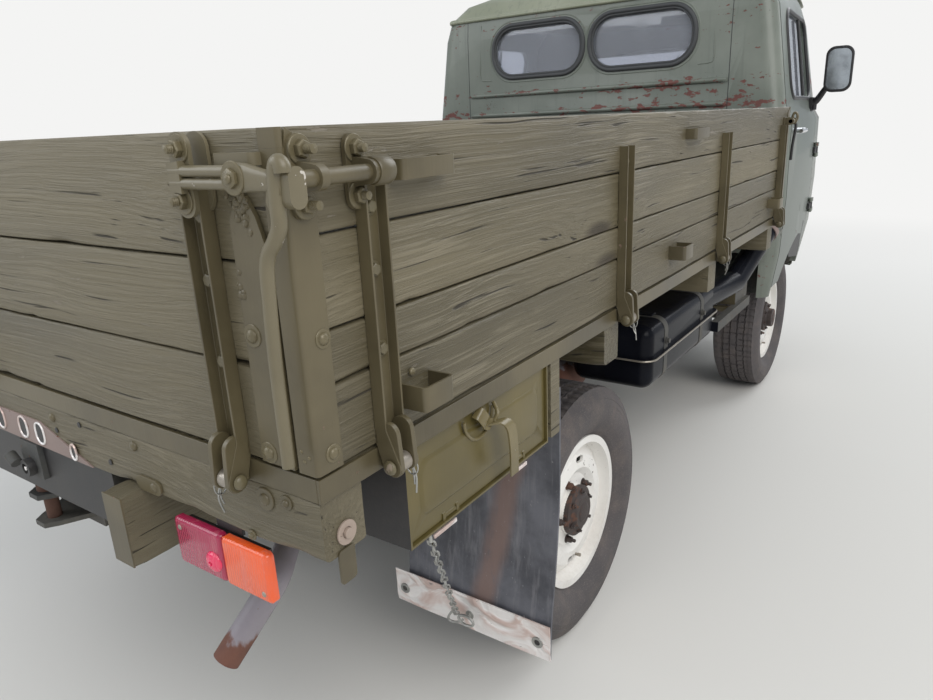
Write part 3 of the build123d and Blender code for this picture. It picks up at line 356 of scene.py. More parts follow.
def rustySteel(name, amount, under, gloss=0.55, metal=0.0):
    def build(place):
        rust = useGroup("oxide", {"Vector": place, "Scale": 60.0, "Amount": amount})
        cloud = noise(place, 12.0, 5.0)
        colour = mixed(rust["Mask"], mixed(cloud, under, dimmed(under, 0.7)), rust["Color"])
        rough = plus(gloss, times(rust["Mask"], 0.35), True)
        shine = times(minus(1.0, rust["Mask"]), metal)
        return {"Base Color": colour, "Roughness": rough, "Metallic": shine,
            "Relief": (rust["Height"], 0.0012)}
    return finish(name, build)


def tailPipe():   # pale lilac-grey paint that has rusted away from the open end upwards, in tongues
    def build(place):
        rust = useGroup("oxide", {"Vector": place, "Scale": 50.0, "Amount": 0.2})
        height = put("SeparateXYZ", {0: place}).outputs["Z"]
        ragged = times(noise(stretched(place, (1.0, 1.0, 0.4)), 26.0, 4.0), 0.10)
        low = band(plus(height, ragged), 0.668, 0.655)
        cover = math2("MAXIMUM", low, rust["Mask"])
        colour = mixed(noise(place, 14.0, 4.0), toned(150, 144, 150), toned(120, 114, 120))
        colour = mixed(cover, colour, mixed(noise(place, 45.0, 5.0), toned(120, 78, 62), toned(84, 58, 50)))
        rough = plus(0.42, times(cover, 0.4), True)
        return {"Base Color": colour, "Roughness": rough, "Relief": (minus(rust["Height"], cover), 0.0008)}
    return finish("tailPipe", build)


def moulded(name, colour, gloss, grain=300.0, depth=0.0003, dust=0.25):
    def build(place):
        cloud = noise(place, 7.0, 5.0)
        fine = noise(place, grain, 3.0)
        dirt = useGroup("roadDirt", {"Vector": place, "Top": 1.4, "Amount": dust})["Mask"]
        shade = mixed(cloud, colour, dimmed(colour, 0.72))
        shade = mixed(dirt, shade, toned(128, 120, 108))
        rough = plus(gloss, times(dirt, 0.4), True)
        return {"Base Color": shade, "Roughness": rough, "Relief": (fine, depth)}
    return finish(name, build)


def tyreRubber():   # grey-black, greyed by fine scuffs on the walls and browned a little by soil
    def build(place):
        cloud = noise(place, 5.0, 4.0, 0.5)
        speck = noise(place, 240.0, 4.0, 0.7)
        base = mixed(band(cloud, 0.25, 0.8), toned(70, 67, 68), toned(88, 83, 83))
        soil = times(band(noise(place, 14.0, 6.0, 0.65), 0.42, 0.8), 0.5)
        colour = mixed(soil, base, toned(112, 101, 94))
        colour = mixed(times(band(speck, 0.5, 0.8), 0.6), colour, toned(132, 122, 116))
        rough = plus(0.72, times(cloud, 0.2), True)
        return {"Base Color": colour, "Roughness": rough, "Relief": (speck, 0.0010)}
    return finish("tyreRubber", build)


def flapSheet():   # mottled blue-grey rubber, scuffed down its height, with one slanting clay-coloured run
    def build(place):
        runs = noise(stretched(place, (1.0, 1.0, 0.07)), 46.0, 6.0, 0.65)
        cloud = noise(place, 7.0, 6.0, 0.62)
        base = mixed(band(cloud, 0.32, 0.7), toned(62, 63, 69), toned(100, 101, 108))
        base = mixed(times(band(runs, 0.46, 0.75), 0.55), base, toned(134, 133, 137))
        side = put("SeparateXYZ", {0: place}).outputs
        sway = times(noise(stretched(place, (1.0, 1.0, 0.3)), 12.0, 5.0, 0.6), 0.05)
        # the run's middle goes from |y| 0.835 at z 0.68 to 0.784 at z 0.40
        middle = plus(0.736, times(side["Z"], 0.182))
        swayed = plus(math2("ABSOLUTE", side["Y"]), sway)
        clay = band(away(swayed, middle), 0.048, 0.012)
        clay = times(times(clay, band(runs, 0.2, 0.42)), band(side["Y"], 0.0, -0.01))
        colour = mixed(times(clay, 0.85), base, toned(126, 105, 98))
        spot = band(noise(stretched(place, (1.0, 1.0, 0.5)), 110.0, 5.0, 0.75), 0.64, 0.70)
        colour = mixed(times(spot, 0.7), colour, toned(160, 158, 160))
        return {"Base Color": colour, "Roughness": plus(0.55, times(clay, 0.25)), "Relief": (runs, 0.0008)}
    return finish("flapSheet", build)


def wheelWhite():   # thick white brush paint, browned in the corners and flaked to dark metal
    def build(place):
        cloud = noise(place, 8.0, 4.0)
        flake = useGroup("flakes", {"Vector": place, "Scale": 60.0, "Amount": 0.3})
        dirt = useGroup("roadDirt", {"Vector": place, "Top": 0.5, "Amount": 0.35})["Mask"]
        colour = mixed(cloud, toned(222, 219, 213), toned(236, 234, 230))
        colour = mixed(dirt, colour, toned(150, 132, 112))
        colour = mixed(flake["Mask"], colour, toned(72, 52, 42))
        rough = plus(0.34, times(dirt, 0.45), True)
        return {"Base Color": colour, "Roughness": rough, "Relief": (flake["Height"], 0.0004)}
    return finish("wheelWhite", build)


def cabCoat(name, coat, pale, chips):   # faded grey-green, chipped to red-brown undercoat; the roof's copy is paler, partly from fading and partly as painted light falling on the top
    def build(place):
        cloud = noise(place, 2.6, 5.0)
        runs = noise(stretched(place, (1.0, 1.0, 0.06)), 40.0, 5.0, 0.6)
        colour = mixed(band(cloud, 0.32, 0.68), coat, pale)
        colour = mixed(times(band(runs, 0.52, 0.72), 0.35), colour, toned(86, 92, 84))
        axes = put("SeparateXYZ", {0: place}).outputs
        nearRib = [band(away(axes["Z"], rib), 0.034, 0.008) for rib in (1.557, 1.462)]
        between = times(band(away(axes["Z"], 1.495), 0.06, 0.03), 0.16)
        right = band(axes["Y"], 0.1, -0.45)
        worn = times(math2("MAXIMUM", *nearRib), 0.31)
        worn = math2("MAXIMUM", worn, times(between, right))
        amount = plus(plus(worn, times(right, 0.08)), chips)
        flake = useGroup("flakes",
            {"Vector": stretched(place, (1.0, 0.6, 1.5)), "Scale": 34.0, "Amount": amount})
        speck = useGroup("flakes",
            {"Vector": stretched(place, (1.4, 1.4, 2.0), shift=(3.1, 1.7, 0.4)), "Scale": 80.0,
            "Amount": chips * 0.8})
        red = mixed(noise(place, 60.0, 3.0), toned(84, 48, 44), toned(116, 74, 66))
        colour = mixed(flake["Mask"], colour, red)
        colour = mixed(times(speck["Mask"], 0.8), colour, toned(58, 52, 46))
        rough = plus(0.34, times(cloud, 0.22))
        rough = plus(rough, times(flake["Mask"], 0.35), True)
        high = plus(flake["Height"], times(runs, 0.25))
        return {"Base Color": colour, "Roughness": rough, "Relief": (high, 0.0005), "Coat Weight": 0.12}
    return finish(name, build)


def lens(name, colour):   # ribbed lamp plastic, dusty and lightly crazed
    def build(place):
        rib = put("TexWave", {"Vector": place, "Scale": 60.0, "Distortion": 0.4}, wave_type="BANDS",
            bands_direction="Y").outputs["Fac"]
        haze = band(noise(stretched(place, (1.0, 1.0, 0.25)), 34.0, 5.0, 0.65), 0.45, 0.8)
        shade = mixed(times(haze, 0.45), colour, toned(196, 130, 130))
        return {"Base Color": shade, "Roughness": plus(0.18, times(haze, 0.35)), "Relief": (rib, 0.0004),
            "Coat Weight": 0.4}
    return finish(name, build)


# the pale diffuse share is dust haze together with painted brightness standing in for reflected sky
def clearGlass(name, dustAndSkyTint, dust):
    def build(place):
        film = band(noise(place, 9.0, 6.0, 0.65), 0.35, 0.8)
        return {"Base Color": dustAndSkyTint, "Roughness": times(film, dust), "Transmission Weight": 0.82, "IOR": 1.45}
    return finish(name, build)


def bareMetal(name, colour, gloss, scratch=90.0):
    def build(place):
        line = noise(stretched(place, (1.0, 0.12, 1.0)), scratch, 4.0, 0.6)
        cloud = noise(place, 14.0, 4.0)
        shade = mixed(band(cloud, 0.35, 0.75), colour, dimmed(colour, 0.6))
        return {"Base Color": shade, "Metallic": 0.9, "Roughness": plus(gloss, times(line, 0.25)),
            "Relief": (line, 0.0003)}
    return finish(name, build)


def grainedLeather():
    def build(place):
        cell = put("TexVoronoi", {"Vector": place, "Scale": 420.0}, feature="DISTANCE_TO_EDGE").outputs[0]
        cloud = noise(place, 8.0, 4.0)
        shade = mixed(cloud, toned(40, 38, 36), toned(62, 59, 55))
        return {"Base Color": shade, "Roughness": 0.55, "Relief": (band(cell, 0.0, 0.18), 0.0006)}
    return finish("grainedLeather", build)


def stripMetal():   # light-alloy strip, buckled so that it mirrors in broad patches, filmed with pale soil
    def build(place):
        smear = noise(stretched(place, (1.0, 1.6, 2.4), (0.5, 0.0, 0.0)), 6.0, 3.0, 0.5, 1.2)
        fine = noise(stretched(place, (1.0, 0.2, 1.0)), 130.0, 4.0)
        shade = mixed(band(smear, 0.42, 0.62), toned(236, 232, 230), toned(206, 184, 176))
        shade = mixed(band(smear, 0.66, 0.74), shade, toned(130, 120, 118))
        return {"Base Color": shade, "Metallic": 0.45, "Roughness": plus(0.2, times(fine, 0.25)),
            "Relief": (smear, 0.012)}
    return finish("stripMetal", build)


oliveTone, oliveShade = toned(99, 90, 66), toned(72, 65, 47)
finishes = {"timberX": paintedTimber("timberX", 0.0, timberTones, 0.38),
    "timberY": paintedTimber("timberY", quarterTurn, timberTones, 0.32),
    "olive": paintedSteel("oliveSteel", oliveTone, oliveShade, toned(120, 100, 84), 0.34, 0.3),
    "boxOlive": paintedSteel("boxOlive", toned(104, 92, 50), toned(84, 75, 42), toned(116, 102, 72), 0.12,
    0.24, 0.5, 0.9, 0.12),
    "chassis": paintedSteel("chassisPaint", toned(60, 62, 62), toned(42, 42, 42), toned(92, 70, 56), 0.42,
    0.5, 0.6, 1.1, 0.75),
    "primed": paintedSteel("primedSteel", toned(138, 120, 114), toned(112, 96, 90), toned(112, 70, 56), 0.5,
    0.4, 0.5, 1.2, 0.3),
    "tank": paintedSteel("tankGloss", toned(24, 26, 33), toned(15, 16, 21), toned(70, 58, 50), 0.1, 0.16, 0.4,
    0.9, 0.04, shine=0.08), "cab": cabCoat("cabCoat", toned(98, 104, 95), toned(116, 121, 112), 0.44),
    # the roof's copy of the cab paint is paler: part fading, part painted light on the upward faces
    "roof": cabCoat("roofFadedAndLitCoat", toned(128, 132, 112), toned(142, 145, 126), 0.26),
    "inside": paintedSteel("insideCoat", toned(118, 124, 112), toned(100, 106, 96), toned(90, 70, 60), 0.2,
    0.42, 0.4, 1.2, 0.3), "rustyPin": rustySteel("rustyPin", 0.95, toned(112, 84, 76)),
    "rustyHub": rustySteel("rustyHub", 0.5, toned(60, 50, 47)), "pipe": tailPipe(),
    "wireSteel": bareMetal("wireSteel", toned(176, 176, 172), 0.34),
    "wornSteel": rustySteel("wornSteel", 0.2, toned(168, 160, 148), 0.32, 0.6),
    "washerPale": paintedSteel("washerPale", toned(178, 160, 148), toned(150, 134, 122), toned(110, 92, 80),
    0.4, 0.4, 0.5, 0.9, 0.1),
    "clipOlive": paintedSteel("clipOlive", toned(128, 117, 84), toned(98, 88, 58), toned(176, 168, 150), 0.36,
    0.16, 0.5, 0.9, 0.1),
    "latchSteel": paintedSteel("latchSteel", toned(112, 104, 82), toned(90, 83, 63), toned(190, 184, 174),
    0.40, 0.28, 0.6),
    "paintedBolt": paintedSteel("boltOlive", toned(112, 104, 78), oliveShade, toned(128, 116, 100), 0.5,
    0.28), "tyre": tyreRubber(), "flap": flapSheet(), "strip": stripMetal(), "wheelWhite": wheelWhite(),
    "seal": moulded("sealRubber", toned(62, 64, 66), 0.6),
    "black": moulded("mouldedBlack", toned(34, 34, 36), 0.45),
    "grip": moulded("smoothBlack", toned(30, 30, 31), 0.3, 120.0, 0.0001, 0.05),
    "red": lens("redLens", toned(160, 34, 72)), "stopRed": lens("stopLens", toned(226, 44, 92)),
    "orange": lens("orangeLens", toned(236, 92, 38)),
    # pale glass: dust haze and painted sky reflection
    "glass": clearGlass("cabGlass", toned(216, 220, 230), 0.12),
    "mirrorGlass": bareMetal("mirrorSilver", toned(205, 210, 212), 0.02, 10.0),
    "chrome": bareMetal("chromePlate", toned(210, 212, 214), 0.06, 40.0), "leather": grainedLeather(),
    "boltSteel": rustySteel("boltSteel", 0.12, toned(112, 103, 78), 0.34, 0.15),
    "cast": moulded("castIron", toned(84, 84, 82), 0.6, 160.0, 0.0006, 0.6),
    "bumper": paintedSteel("bumperCoat", toned(70, 74, 62), toned(56, 60, 50), toned(90, 66, 52), 0.35, 0.42,
    0.6, 0.9, 0.5), "door": cabCoat("doorCoat", toned(84, 91, 84), toned(98, 105, 97), 0.2),
    "lampClear": lens("lampClear", toned(206, 212, 216)),}
print("finishes ready:", len(finishes))

# ---- geometry: a part is (points, faces, seed); a piece is one mesh made of parts


def quadRows(rows, ring, caps, loop):   # quads between rings of points, with flat ends or joined round
    near = np.arange(ring)
    step = (near + 1) % ring
    base = np.arange(rows if loop else rows - 1)
    low, high = (base * ring)[:, None], ((base + 1) % rows * ring)[:, None]
    faces = np.stack([low + near, low + step, high + step, high + near], -1).reshape(-1, 4).tolist()
    return faces + ([near[::-1].tolist(), ((rows - 1) * ring + near).tolist()] if caps and not loop else [])


def lofted(rings, caps=True, loop=False, seed=0.0):
    return rings.reshape(-1, 3), quadRows(rings.shape[0], rings.shape[1], caps, loop), seed


def prism(outline, axis, low, high):   # flat outline in the other two axes, carried along one axis
    rings = np.empty((2, len(outline), 3))
    rings[:, :, [k for k in range(3) if k != axis]] = np.array(outline, float)
    rings[0, :, axis], rings[1, :, axis] = low, high
    return lofted(rings)


def slab(x0, x1, y0, y1, z0, z1):
    return prism([(x0, y0), (x1, y0), (x1, y1), (x0, y1)], 2, z0, z1)


def arcPoints(centre, radius, first, last, count):
    angle = np.radians(np.linspace(first, last, count))
    return [(centre[0] + radius * c, centre[1] + radius * s) for c, s in zip(np.cos(angle), np.sin(angle))]


def roundedBox(width, height, radius, steps=6):   # outline of a plate round its middle
    w, h = width / 2 - radius, height / 2 - radius
    corners = ((w, h, 0), (-w, h, 90), (-w, -h, 180), (w, -h, 270))
    return [point for x, y, start in corners for point in arcPoints((x, y), radius, start, start + 90, steps)]


def boxAt(u, v, width, height, radius, steps=6):
    return [(u + du, v + dv) for du, dv in roundedBox(width, height, radius, steps)]


def circle(count):
    return np.linspace(0, 2 * math.pi, count, endpoint=False)


def basis(axis):   # matrix that turns +Z to the given direction
    return np.array(Vector(axis).to_track_quat("Z", "Y").to_matrix())


def placed(part, place, turn=None):
    points = part[0] if turn is None else part[0] @ np.array(turn).T
    return points + np.array(place), part[1], part[2]


def turnedPart(profile, place, axis, steps=48, seed=0.0):   # closed (radius, offset) profile spun about axis
    flat = np.array(profile, float)
    angle = np.arange(steps) * 2 * math.pi / steps
    radius = np.maximum(flat[:, 0], 0.0002)
    rings = np.stack([np.outer(np.cos(angle), radius), np.outer(np.sin(angle), radius),
        np.broadcast_to(flat[:, 1], (steps, len(flat)))], -1)
    return placed(lofted(rings, loop=True, seed=seed), place, basis(axis))


def rodPart(start, end, radius, sides=20, lip=0.0008):
    start, end = np.array(start, float), np.array(end, float)
    length = np.linalg.norm(end - start)
    angle = np.arange(sides) * 2 * math.pi / sides
    lip = min(lip, radius * 0.4, length * 0.3)
    rows = [(radius - lip, 0.0), (radius, lip), (radius, length - lip), (radius - lip, length)]
    rings = np.array([[(r * c, r * s, z) for c, s in zip(np.cos(angle), np.sin(angle))] for r, z in rows])
    return placed(lofted(rings), start, basis(end - start))


def smoothPath(points, steps=8):   # curve through the points: Catmull-Rom between neighbours
    given = np.array(points, float)
    ends = np.vstack([2 * given[0] - given[1], given, 2 * given[-1] - given[-2]])
    t = np.linspace(0, 1, steps, endpoint=False)[:, None]
    runs = [0.5 * (2 * b + (c - a) * t + (2 * a - 5 * b + 4 * c - d) * t ** 2
        + (3 * b - a - 3 * c + d) * t ** 3) for a, b, c, d in zip(ends, ends[1:], ends[2:], ends[3:])]
    return np.vstack(runs + [given[-1:]])


def pathFrames(path):
    ahead = np.gradient(path, axis=0)
    ahead /= np.linalg.norm(ahead, axis=1)[:, None]
    side = np.cross(ahead[0], (0.0, 0.0, 1.0) if abs(ahead[0][2]) < 0.9 else (1.0, 0.0, 0.0))
    frames = []
    for step in ahead:
        side = side - step * side.dot(step)
        side = side / np.linalg.norm(side)
        frames.append((side, np.cross(step, side)))
    return np.array(frames)


def tubePart(points, radius, sides=12, loop=False):   # round bar along a path; radius may change along it
    path = np.array(points, float)
    frames = pathFrames(np.vstack([path, path[:1]]))[:-1] if loop else pathFrames(path)
    thick = np.broadcast_to(np.array(radius, float), (len(path),))[:, None, None]
    angle = np.arange(sides) * 2 * math.pi / sides
    ring = np.cos(angle)[None, :, None] * frames[:, None, 0] + np.sin(angle)[None, :, None] * frames[:, None,
        1]
    return lofted(path[:, None] + thick * ring, loop=loop)


# flat bar bent along a path; across is its constant wide direction
def strapPart(points, across, width, thick):
    path, across = np.array(points, float), np.array(across, float)
    ahead = np.gradient(path, axis=0)
    out = np.cross(ahead, across)
    out /= np.linalg.norm(out, axis=1)[:, None]
    rings = np.stack([path + across * u * width / 2
        + out * v * thick / 2 for u, v in ((1, 1), (-1, 1), (-1, -1), (1, -1))], 1)
    return lofted(rings)


# nut or head, with washer and threaded end
def hexPart(place, axis, size, height, washer=0.0, stud=0.0, turn=0.3):
    angle = np.arange(6) * math.pi / 3 + turn
    rows = [(size * 0.96, 0.0), (size, height * 0.1), (size, height * 0.8), (size * 0.84, height)]
    rings = np.array([[(r * c, r * s, z) for c, s in zip(np.cos(angle), np.sin(angle))] for r, z in rows])
    parts = [placed(lofted(rings), place, basis(axis))]
    place, axis = np.array(place, float), np.array(axis, float) / np.linalg.norm(axis)
    if washer:
        parts.append(rodPart(place - axis * 0.0005, place + axis * 0.0022, washer, 24))
        parts[0] = placed(parts[0], axis * 0.002)
    if stud:
        crest = size * 0.52
        turns = np.arange(int(stud / 0.0012))
        profile = [(0, 0)] + [(crest * (1.0 if k % 2 else 0.88), height * 0.9 + k * 0.0012) for k in turns]
        parts.append(turnedPart(profile + [(0, height * 0.9 + len(turns) * 0.0012)], place, axis, 14))
    return parts


def domePart(place, axis, radius, height, sides=18):   # rivet or round head
    angle = np.radians(np.linspace(0, 88, 6))
    profile = [(0, -0.001),
        (radius, -0.001)] + [(radius * c, height * s) for c, s in zip(np.cos(angle), np.sin(angle))]
    return turnedPart(profile, place, axis, sides)


def wander(rng, count, knots, low, high):   # smooth random line
    value = rng.uniform(low, high, knots + 1)
    t = np.linspace(0, knots, count)
    k = np.minimum(t.astype(int), knots - 1)
    f = t - k
    f = f * f * (3 - 2 * f)
    return value[k] * (1 - f) + value[k + 1] * f


def plank(begin, end, rise, face, seed, wear=1.0, step=0.02):
    # rounded oblong carried from begin to end; rise and face are half its height and thickness, as vectors.
    # Corner radius, bow and cup wander along the run, and each edge has a few worn dents.
    rng = np.random.default_rng(seed)
    begin, end, rise, face = (np.array(v, float) for v in (begin, end, rise, face))
    length, tall, thick = np.linalg.norm(end - begin), np.linalg.norm(rise), np.linalg.norm(face)
    run, rise, face = (end - begin) / length, rise / tall, face / thick
    rows = max(12, int(length / step))
    t = np.linspace(0, 1, rows)
    signs = ((1, 1, 0), (-1, 1, 90), (-1, -1, 180), (1, -1, 270))
    rings = []
    for a, b, start in signs:
        radius = 0.0022 + wander(rng, rows, max(3, int(length / 0.12)), 0.0, 0.0022) * wear
        for _ in range(int(length * 3.0 * wear) + 1):
            radius = radius + rng.uniform(0.001,
                0.006) * wear * np.exp(-((t - rng.uniform(0, 1)) * length / rng.uniform(0.008, 0.05)) ** 2)
        radius = np.minimum(radius, min(tall, thick) * 0.8)
        radius[[0, -1]] += 0.001
        corner = [(a * (tall - radius) + radius * math.cos(phi),
            b * (thick - radius) + radius * math.sin(phi))
            for phi in np.radians((start, start + 30, start + 60, start + 90))]
        rings += corner
        if start in (0, 180):
            rings += [(share * tall * a * np.ones(rows), b * thick * np.ones(rows))
                for share in (0.62, 0.3, 0.0, -0.3, -0.62)]
    across = np.array([r[0] for r in rings]).T
    deep = np.array([r[1] for r in rings]).T
    cup = wander(rng, rows, 5, -0.0008, 0.0008)[:, None] * (1 - (across / tall) ** 2) * wear
    bow = wander(rng, rows, 4, -0.0008, 0.0008)[:, None] * wear
    points = begin + t[:, None, None] * (end - begin) + across[..., None] * rise + (deep + cup + bow)[...,
        None] * face
    inset = np.zeros(rows)
    inset[[0, -1]] = 1
    points = points - inset[:, None,
        None] * 0.0015 * (np.sign(across)[..., None] * rise + np.sign(deep)[..., None] * face)
    return lofted(points, seed=float(seed % 97) * 1.7 + 0.6)


def mirroredParts(parts):
    return [(points * (1, -1, 1), faces, seed + 3.1 if seed else 0.0) for points, faces, seed in parts]


sides = (("Left", 1), ("Right", -1))


def sided(name, side):   # a node's or body's name on one side
    return name + ("_left" if side > 0 else "_right")


def camelName(node):
    return "".join(word.capitalize() for word in node.split("_"))


# rows: name with its side, parts, +1 for left and -1 for right; parts are drawn on the left
def bothSides(name, parts):
    return ((name + "Left", parts, 1), (name + "Right", mirroredParts(parts), -1))


def addPiece(name, parts, coat, body, bevel=0.0, angle=34.0, replaced=(), segments=2):
    starts = np.cumsum([0] + [len(part[0]) for part in parts[:-1]])
    points = np.concatenate([part[0] for part in parts])
    faces = [[int(start) + index for index in face] for start, part in zip(starts, parts) for face in part[1]]
    mesh = bpy.data.meshes.new(name)
    mesh.from_pydata(points.tolist(), [], faces)
    if any(part[2] for part in parts):
        seeds = np.concatenate([np.full(len(part[0]), part[2]) for part in parts])
        mesh.attributes.new("plankSeed", "FLOAT", "POINT").data.foreach_set("value", seeds.astype(np.float32))
    form = bmesh.new()
    form.from_mesh(mesh)
    bmesh.ops.recalc_face_normals(form, faces=form.faces)
    form.to_mesh(mesh)
    form.free()
    return dressPiece(name, mesh, coat, body, bevel, angle, replaced, segments)


def dressPiece(name, mesh, coat, body, bevel, angle, replaced, segments=2):
    mesh.shade_smooth()
    mesh.set_sharp_from_angle(angle=math.radians(angle))
    mesh.materials.clear()
    mesh.materials.append(finishes[coat])
    piece = bpy.data.objects.new(name, mesh)
    bpy.context.scene.collection.objects.link(piece)
    if bevel:
        edge = piece.modifiers.new("edges", "BEVEL")
        edge.width, edge.segments, edge.limit_method, edge.angle_limit = (bevel, segments, "ANGLE",
            math.radians(angle))
        edge.harden_normals = True
    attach(piece, body)
    if replaced:
        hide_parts(*replaced)
    return piece


# the solid's own shape with flat faces joined and edges eased
def copiedNode(name, node, coat, body, bevel=0.0012, angle=30.0):
    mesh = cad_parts[node].data.copy()
    form = bmesh.new()
    form.from_mesh(mesh)
    bmesh.ops.remove_doubles(form, verts=form.verts, dist=1e-5)
    bmesh.ops.dissolve_limit(form, angle_limit=math.radians(0.6), verts=form.verts, edges=form.edges)
    bmesh.ops.recalc_face_normals(form, faces=form.faces)
    form.to_mesh(mesh)
    form.free()
    return dressPiece(name, mesh, coat, body, bevel, angle, (node,))


def recolour(piece, coat, chosen):   # chosen(x, y, z) of the faces' centres picks faces for a second finish
    mesh = piece.data
    centres = np.empty(len(mesh.polygons) * 3)
    mesh.polygons.foreach_get("center", centres)
    hit = chosen(*centres.reshape(-1, 3).T)
    index = np.zeros(len(mesh.polygons), np.int32)
    mesh.polygons.foreach_get("material_index", index)
    index[hit] = len(mesh.materials)
    mesh.materials.append(finishes[coat])
    mesh.polygons.foreach_set("material_index", index)
    return piece


# ---- load bed

bed = {"rear": -2.176, "front": 0.477, "half": 0.966, "board": 0.030, "gate": 0.034, "low": 1.016,
    "top": 1.431, "floor": 1.010, "floorThick": 0.034, "gateHalf": 0.930, "sideBreaks": (1.124, 1.194, 1.310),
    "gateBreaks": (1.146, 1.279), "gap": 0.003, "beamLow": 0.885, "sillLow": 0.755, "sill": (0.490, 0.545),
    "beamsX": (-2.176, -1.298, -0.508, 0.282), "beamWidth": 0.080, "edge": 0.006, "hingeY": 0.991,
    "hingeZ": 0.988, "gateHingeX": -2.201, "strapsX": (-2.048, -1.228, -0.448, 0.352),
    "gateStrapsY": (-0.820, 0.0, 0.820), "postsY": (-0.6, 0.0, 0.6), "postHalf": 0.03, "postSteel": 0.006,
    "postBolts": (1.05, 1.16, 1.25, 1.37),
    # plank across before the toolbox: x, inner y, outer y, middle height, half height, half thickness
    "hanger": (-1.530, 0.545, 0.958, 0.893, 0.083, 0.020), "sillPast": 0.037, "armHalf": 0.0095,
    "armZ": (0.977, 0.999)}


def wallBands(size, breaks):   # middle height and half height of each board of a wall
    edges = (size["low"],) + breaks + (size["top"],)
    last = len(edges) - 2
    bands = [(low + (size["gap"] / 2 if k else 0), high - (size["gap"] / 2 if k < last else 0))
        for k, (low, high) in enumerate(zip(edges, edges[1:]))]
    return [((low + high) / 2, (high - low) / 2) for low, high in bands]


def bedTimber(size):
    middle = size["half"] - size["board"] / 2
    for name, side in sides:
        boards = [plank((size["rear"], side * middle, mid), (size["front"], side * middle, mid), (0, 0, half),
            (0, size["board"] / 2, 0), 11 + 7 * k + (side > 0) * 40)
            for k, (mid, half) in enumerate(wallBands(size, size["sideBreaks"]))]
        addPiece("sideBoards" + name, boards, "timberX", sided("side", side), angle=50,
            replaced=(sided("side_boards", side),))
    walls = (("tailgateBoards", size["rear"] + size["gate"] / 2, "gateBreaks", "tailgate", "tailgate_boards"),
        ("frontBoards", size["front"] - size["gate"] / 2, "sideBreaks", "chassis", None))
    for index, (name, x, breaks, body, node) in enumerate(walls):
        boards = [plank((x, -size["gateHalf"], mid), (x, size["gateHalf"], mid), (0, 0, half),
            (size["gate"] / 2, 0, 0), 131 + 13 * k + 50 * index)
            for k, (mid, half) in enumerate(wallBands(size, size[breaks]))]
        addPiece(name, boards, "timberY", body, angle=50, replaced=(node,) if node else ())
    under, face, wide = (size["floor"] - size["floorThick"], size["front"] + size["postSteel"],
        size["postHalf"])
    posts = [slab(size["front"], face, y - wide, y + wide, under, size["top"]) for y in size["postsY"]]
    bolts = [part for y in size["postsY"] for z in size["postBolts"]
        for part in hexPart((face, y, z), (1, 0, 0), 0.010, 0.007, 0.014)]
    addPiece("frontPosts", posts, "olive", "chassis", 0.0012, replaced=("front_board",))
    addPiece("frontPostBolts", bolts, "paintedBolt", "chassis", 0.0004)
    reach = size["half"] - size["edge"]
    pitch = reach / 4
    z = size["floor"] - size["floorThick"] / 2
    floor = [plank((size["rear"] + size["edge"], y, z), (size["front"], y, z),
        (0, pitch / 2 - size["gap"] / 2, 0), (0, 0, size["floorThick"] / 2), 301 + 11 * k, 1.5)
        for k, y in enumerate(-reach + pitch * (np.arange(8) + 0.5))]
    addPiece("bedFloor", floor, "timberX", "chassis", angle=50, replaced=("bed_floor",))
    half, middle = size["beamWidth"] / 2, (size["beamLow"] + z - size["floorThick"] / 2) / 2
    beams = [plank((x + half, -reach, middle), (x + half, reach, middle),
        (0, 0, (under - size["beamLow"]) / 2), (half, 0, 0), 401 + 9 * k, 1.6)
        for k, x in enumerate(size["beamsX"])]
    addPiece("bedBeams", beams, "timberY", "chassis", angle=50, replaced=("bed_beams",))
    low, high = size["sillLow"], size["beamLow"]
    y = sum(size["sill"]) / 2
    middle, half = (low + high) / 2, (size["sill"][1] - size["sill"][0]) / 2
    sills = [plank((size["rear"] - size["sillPast"], side * y, middle), (size["front"], side * y, middle),
        (0, 0, (high - low) / 2), (0, half, 0), 451 + side, 1.8) for side in (-1, 1)]
    x, near, far, z, rise, deep = size["hanger"]
    hangers = [plank((x, side * near, z), (x, side * far, z), (0, 0, rise), (deep, 0, 0), 471 + side, 1.2)
        for side in (-1, 1)]
    addPiece("bedSills", sills + hangers, "timberX", "chassis", angle=50, replaced=("bed_beams",))


bedTimber(bed)
print("timber ready")

# ---- straps, hinges, posts and rails of the bed

strap = {"half": 0.020, "proud": 0.020, "steel": 0.0035, "low": 0.050, "top": 0.377, "ear": (0.0103, 0.0183),
    "pin": 0.006, "boss": 0.012, "bolts": (0.160, 0.266, 0.345)}


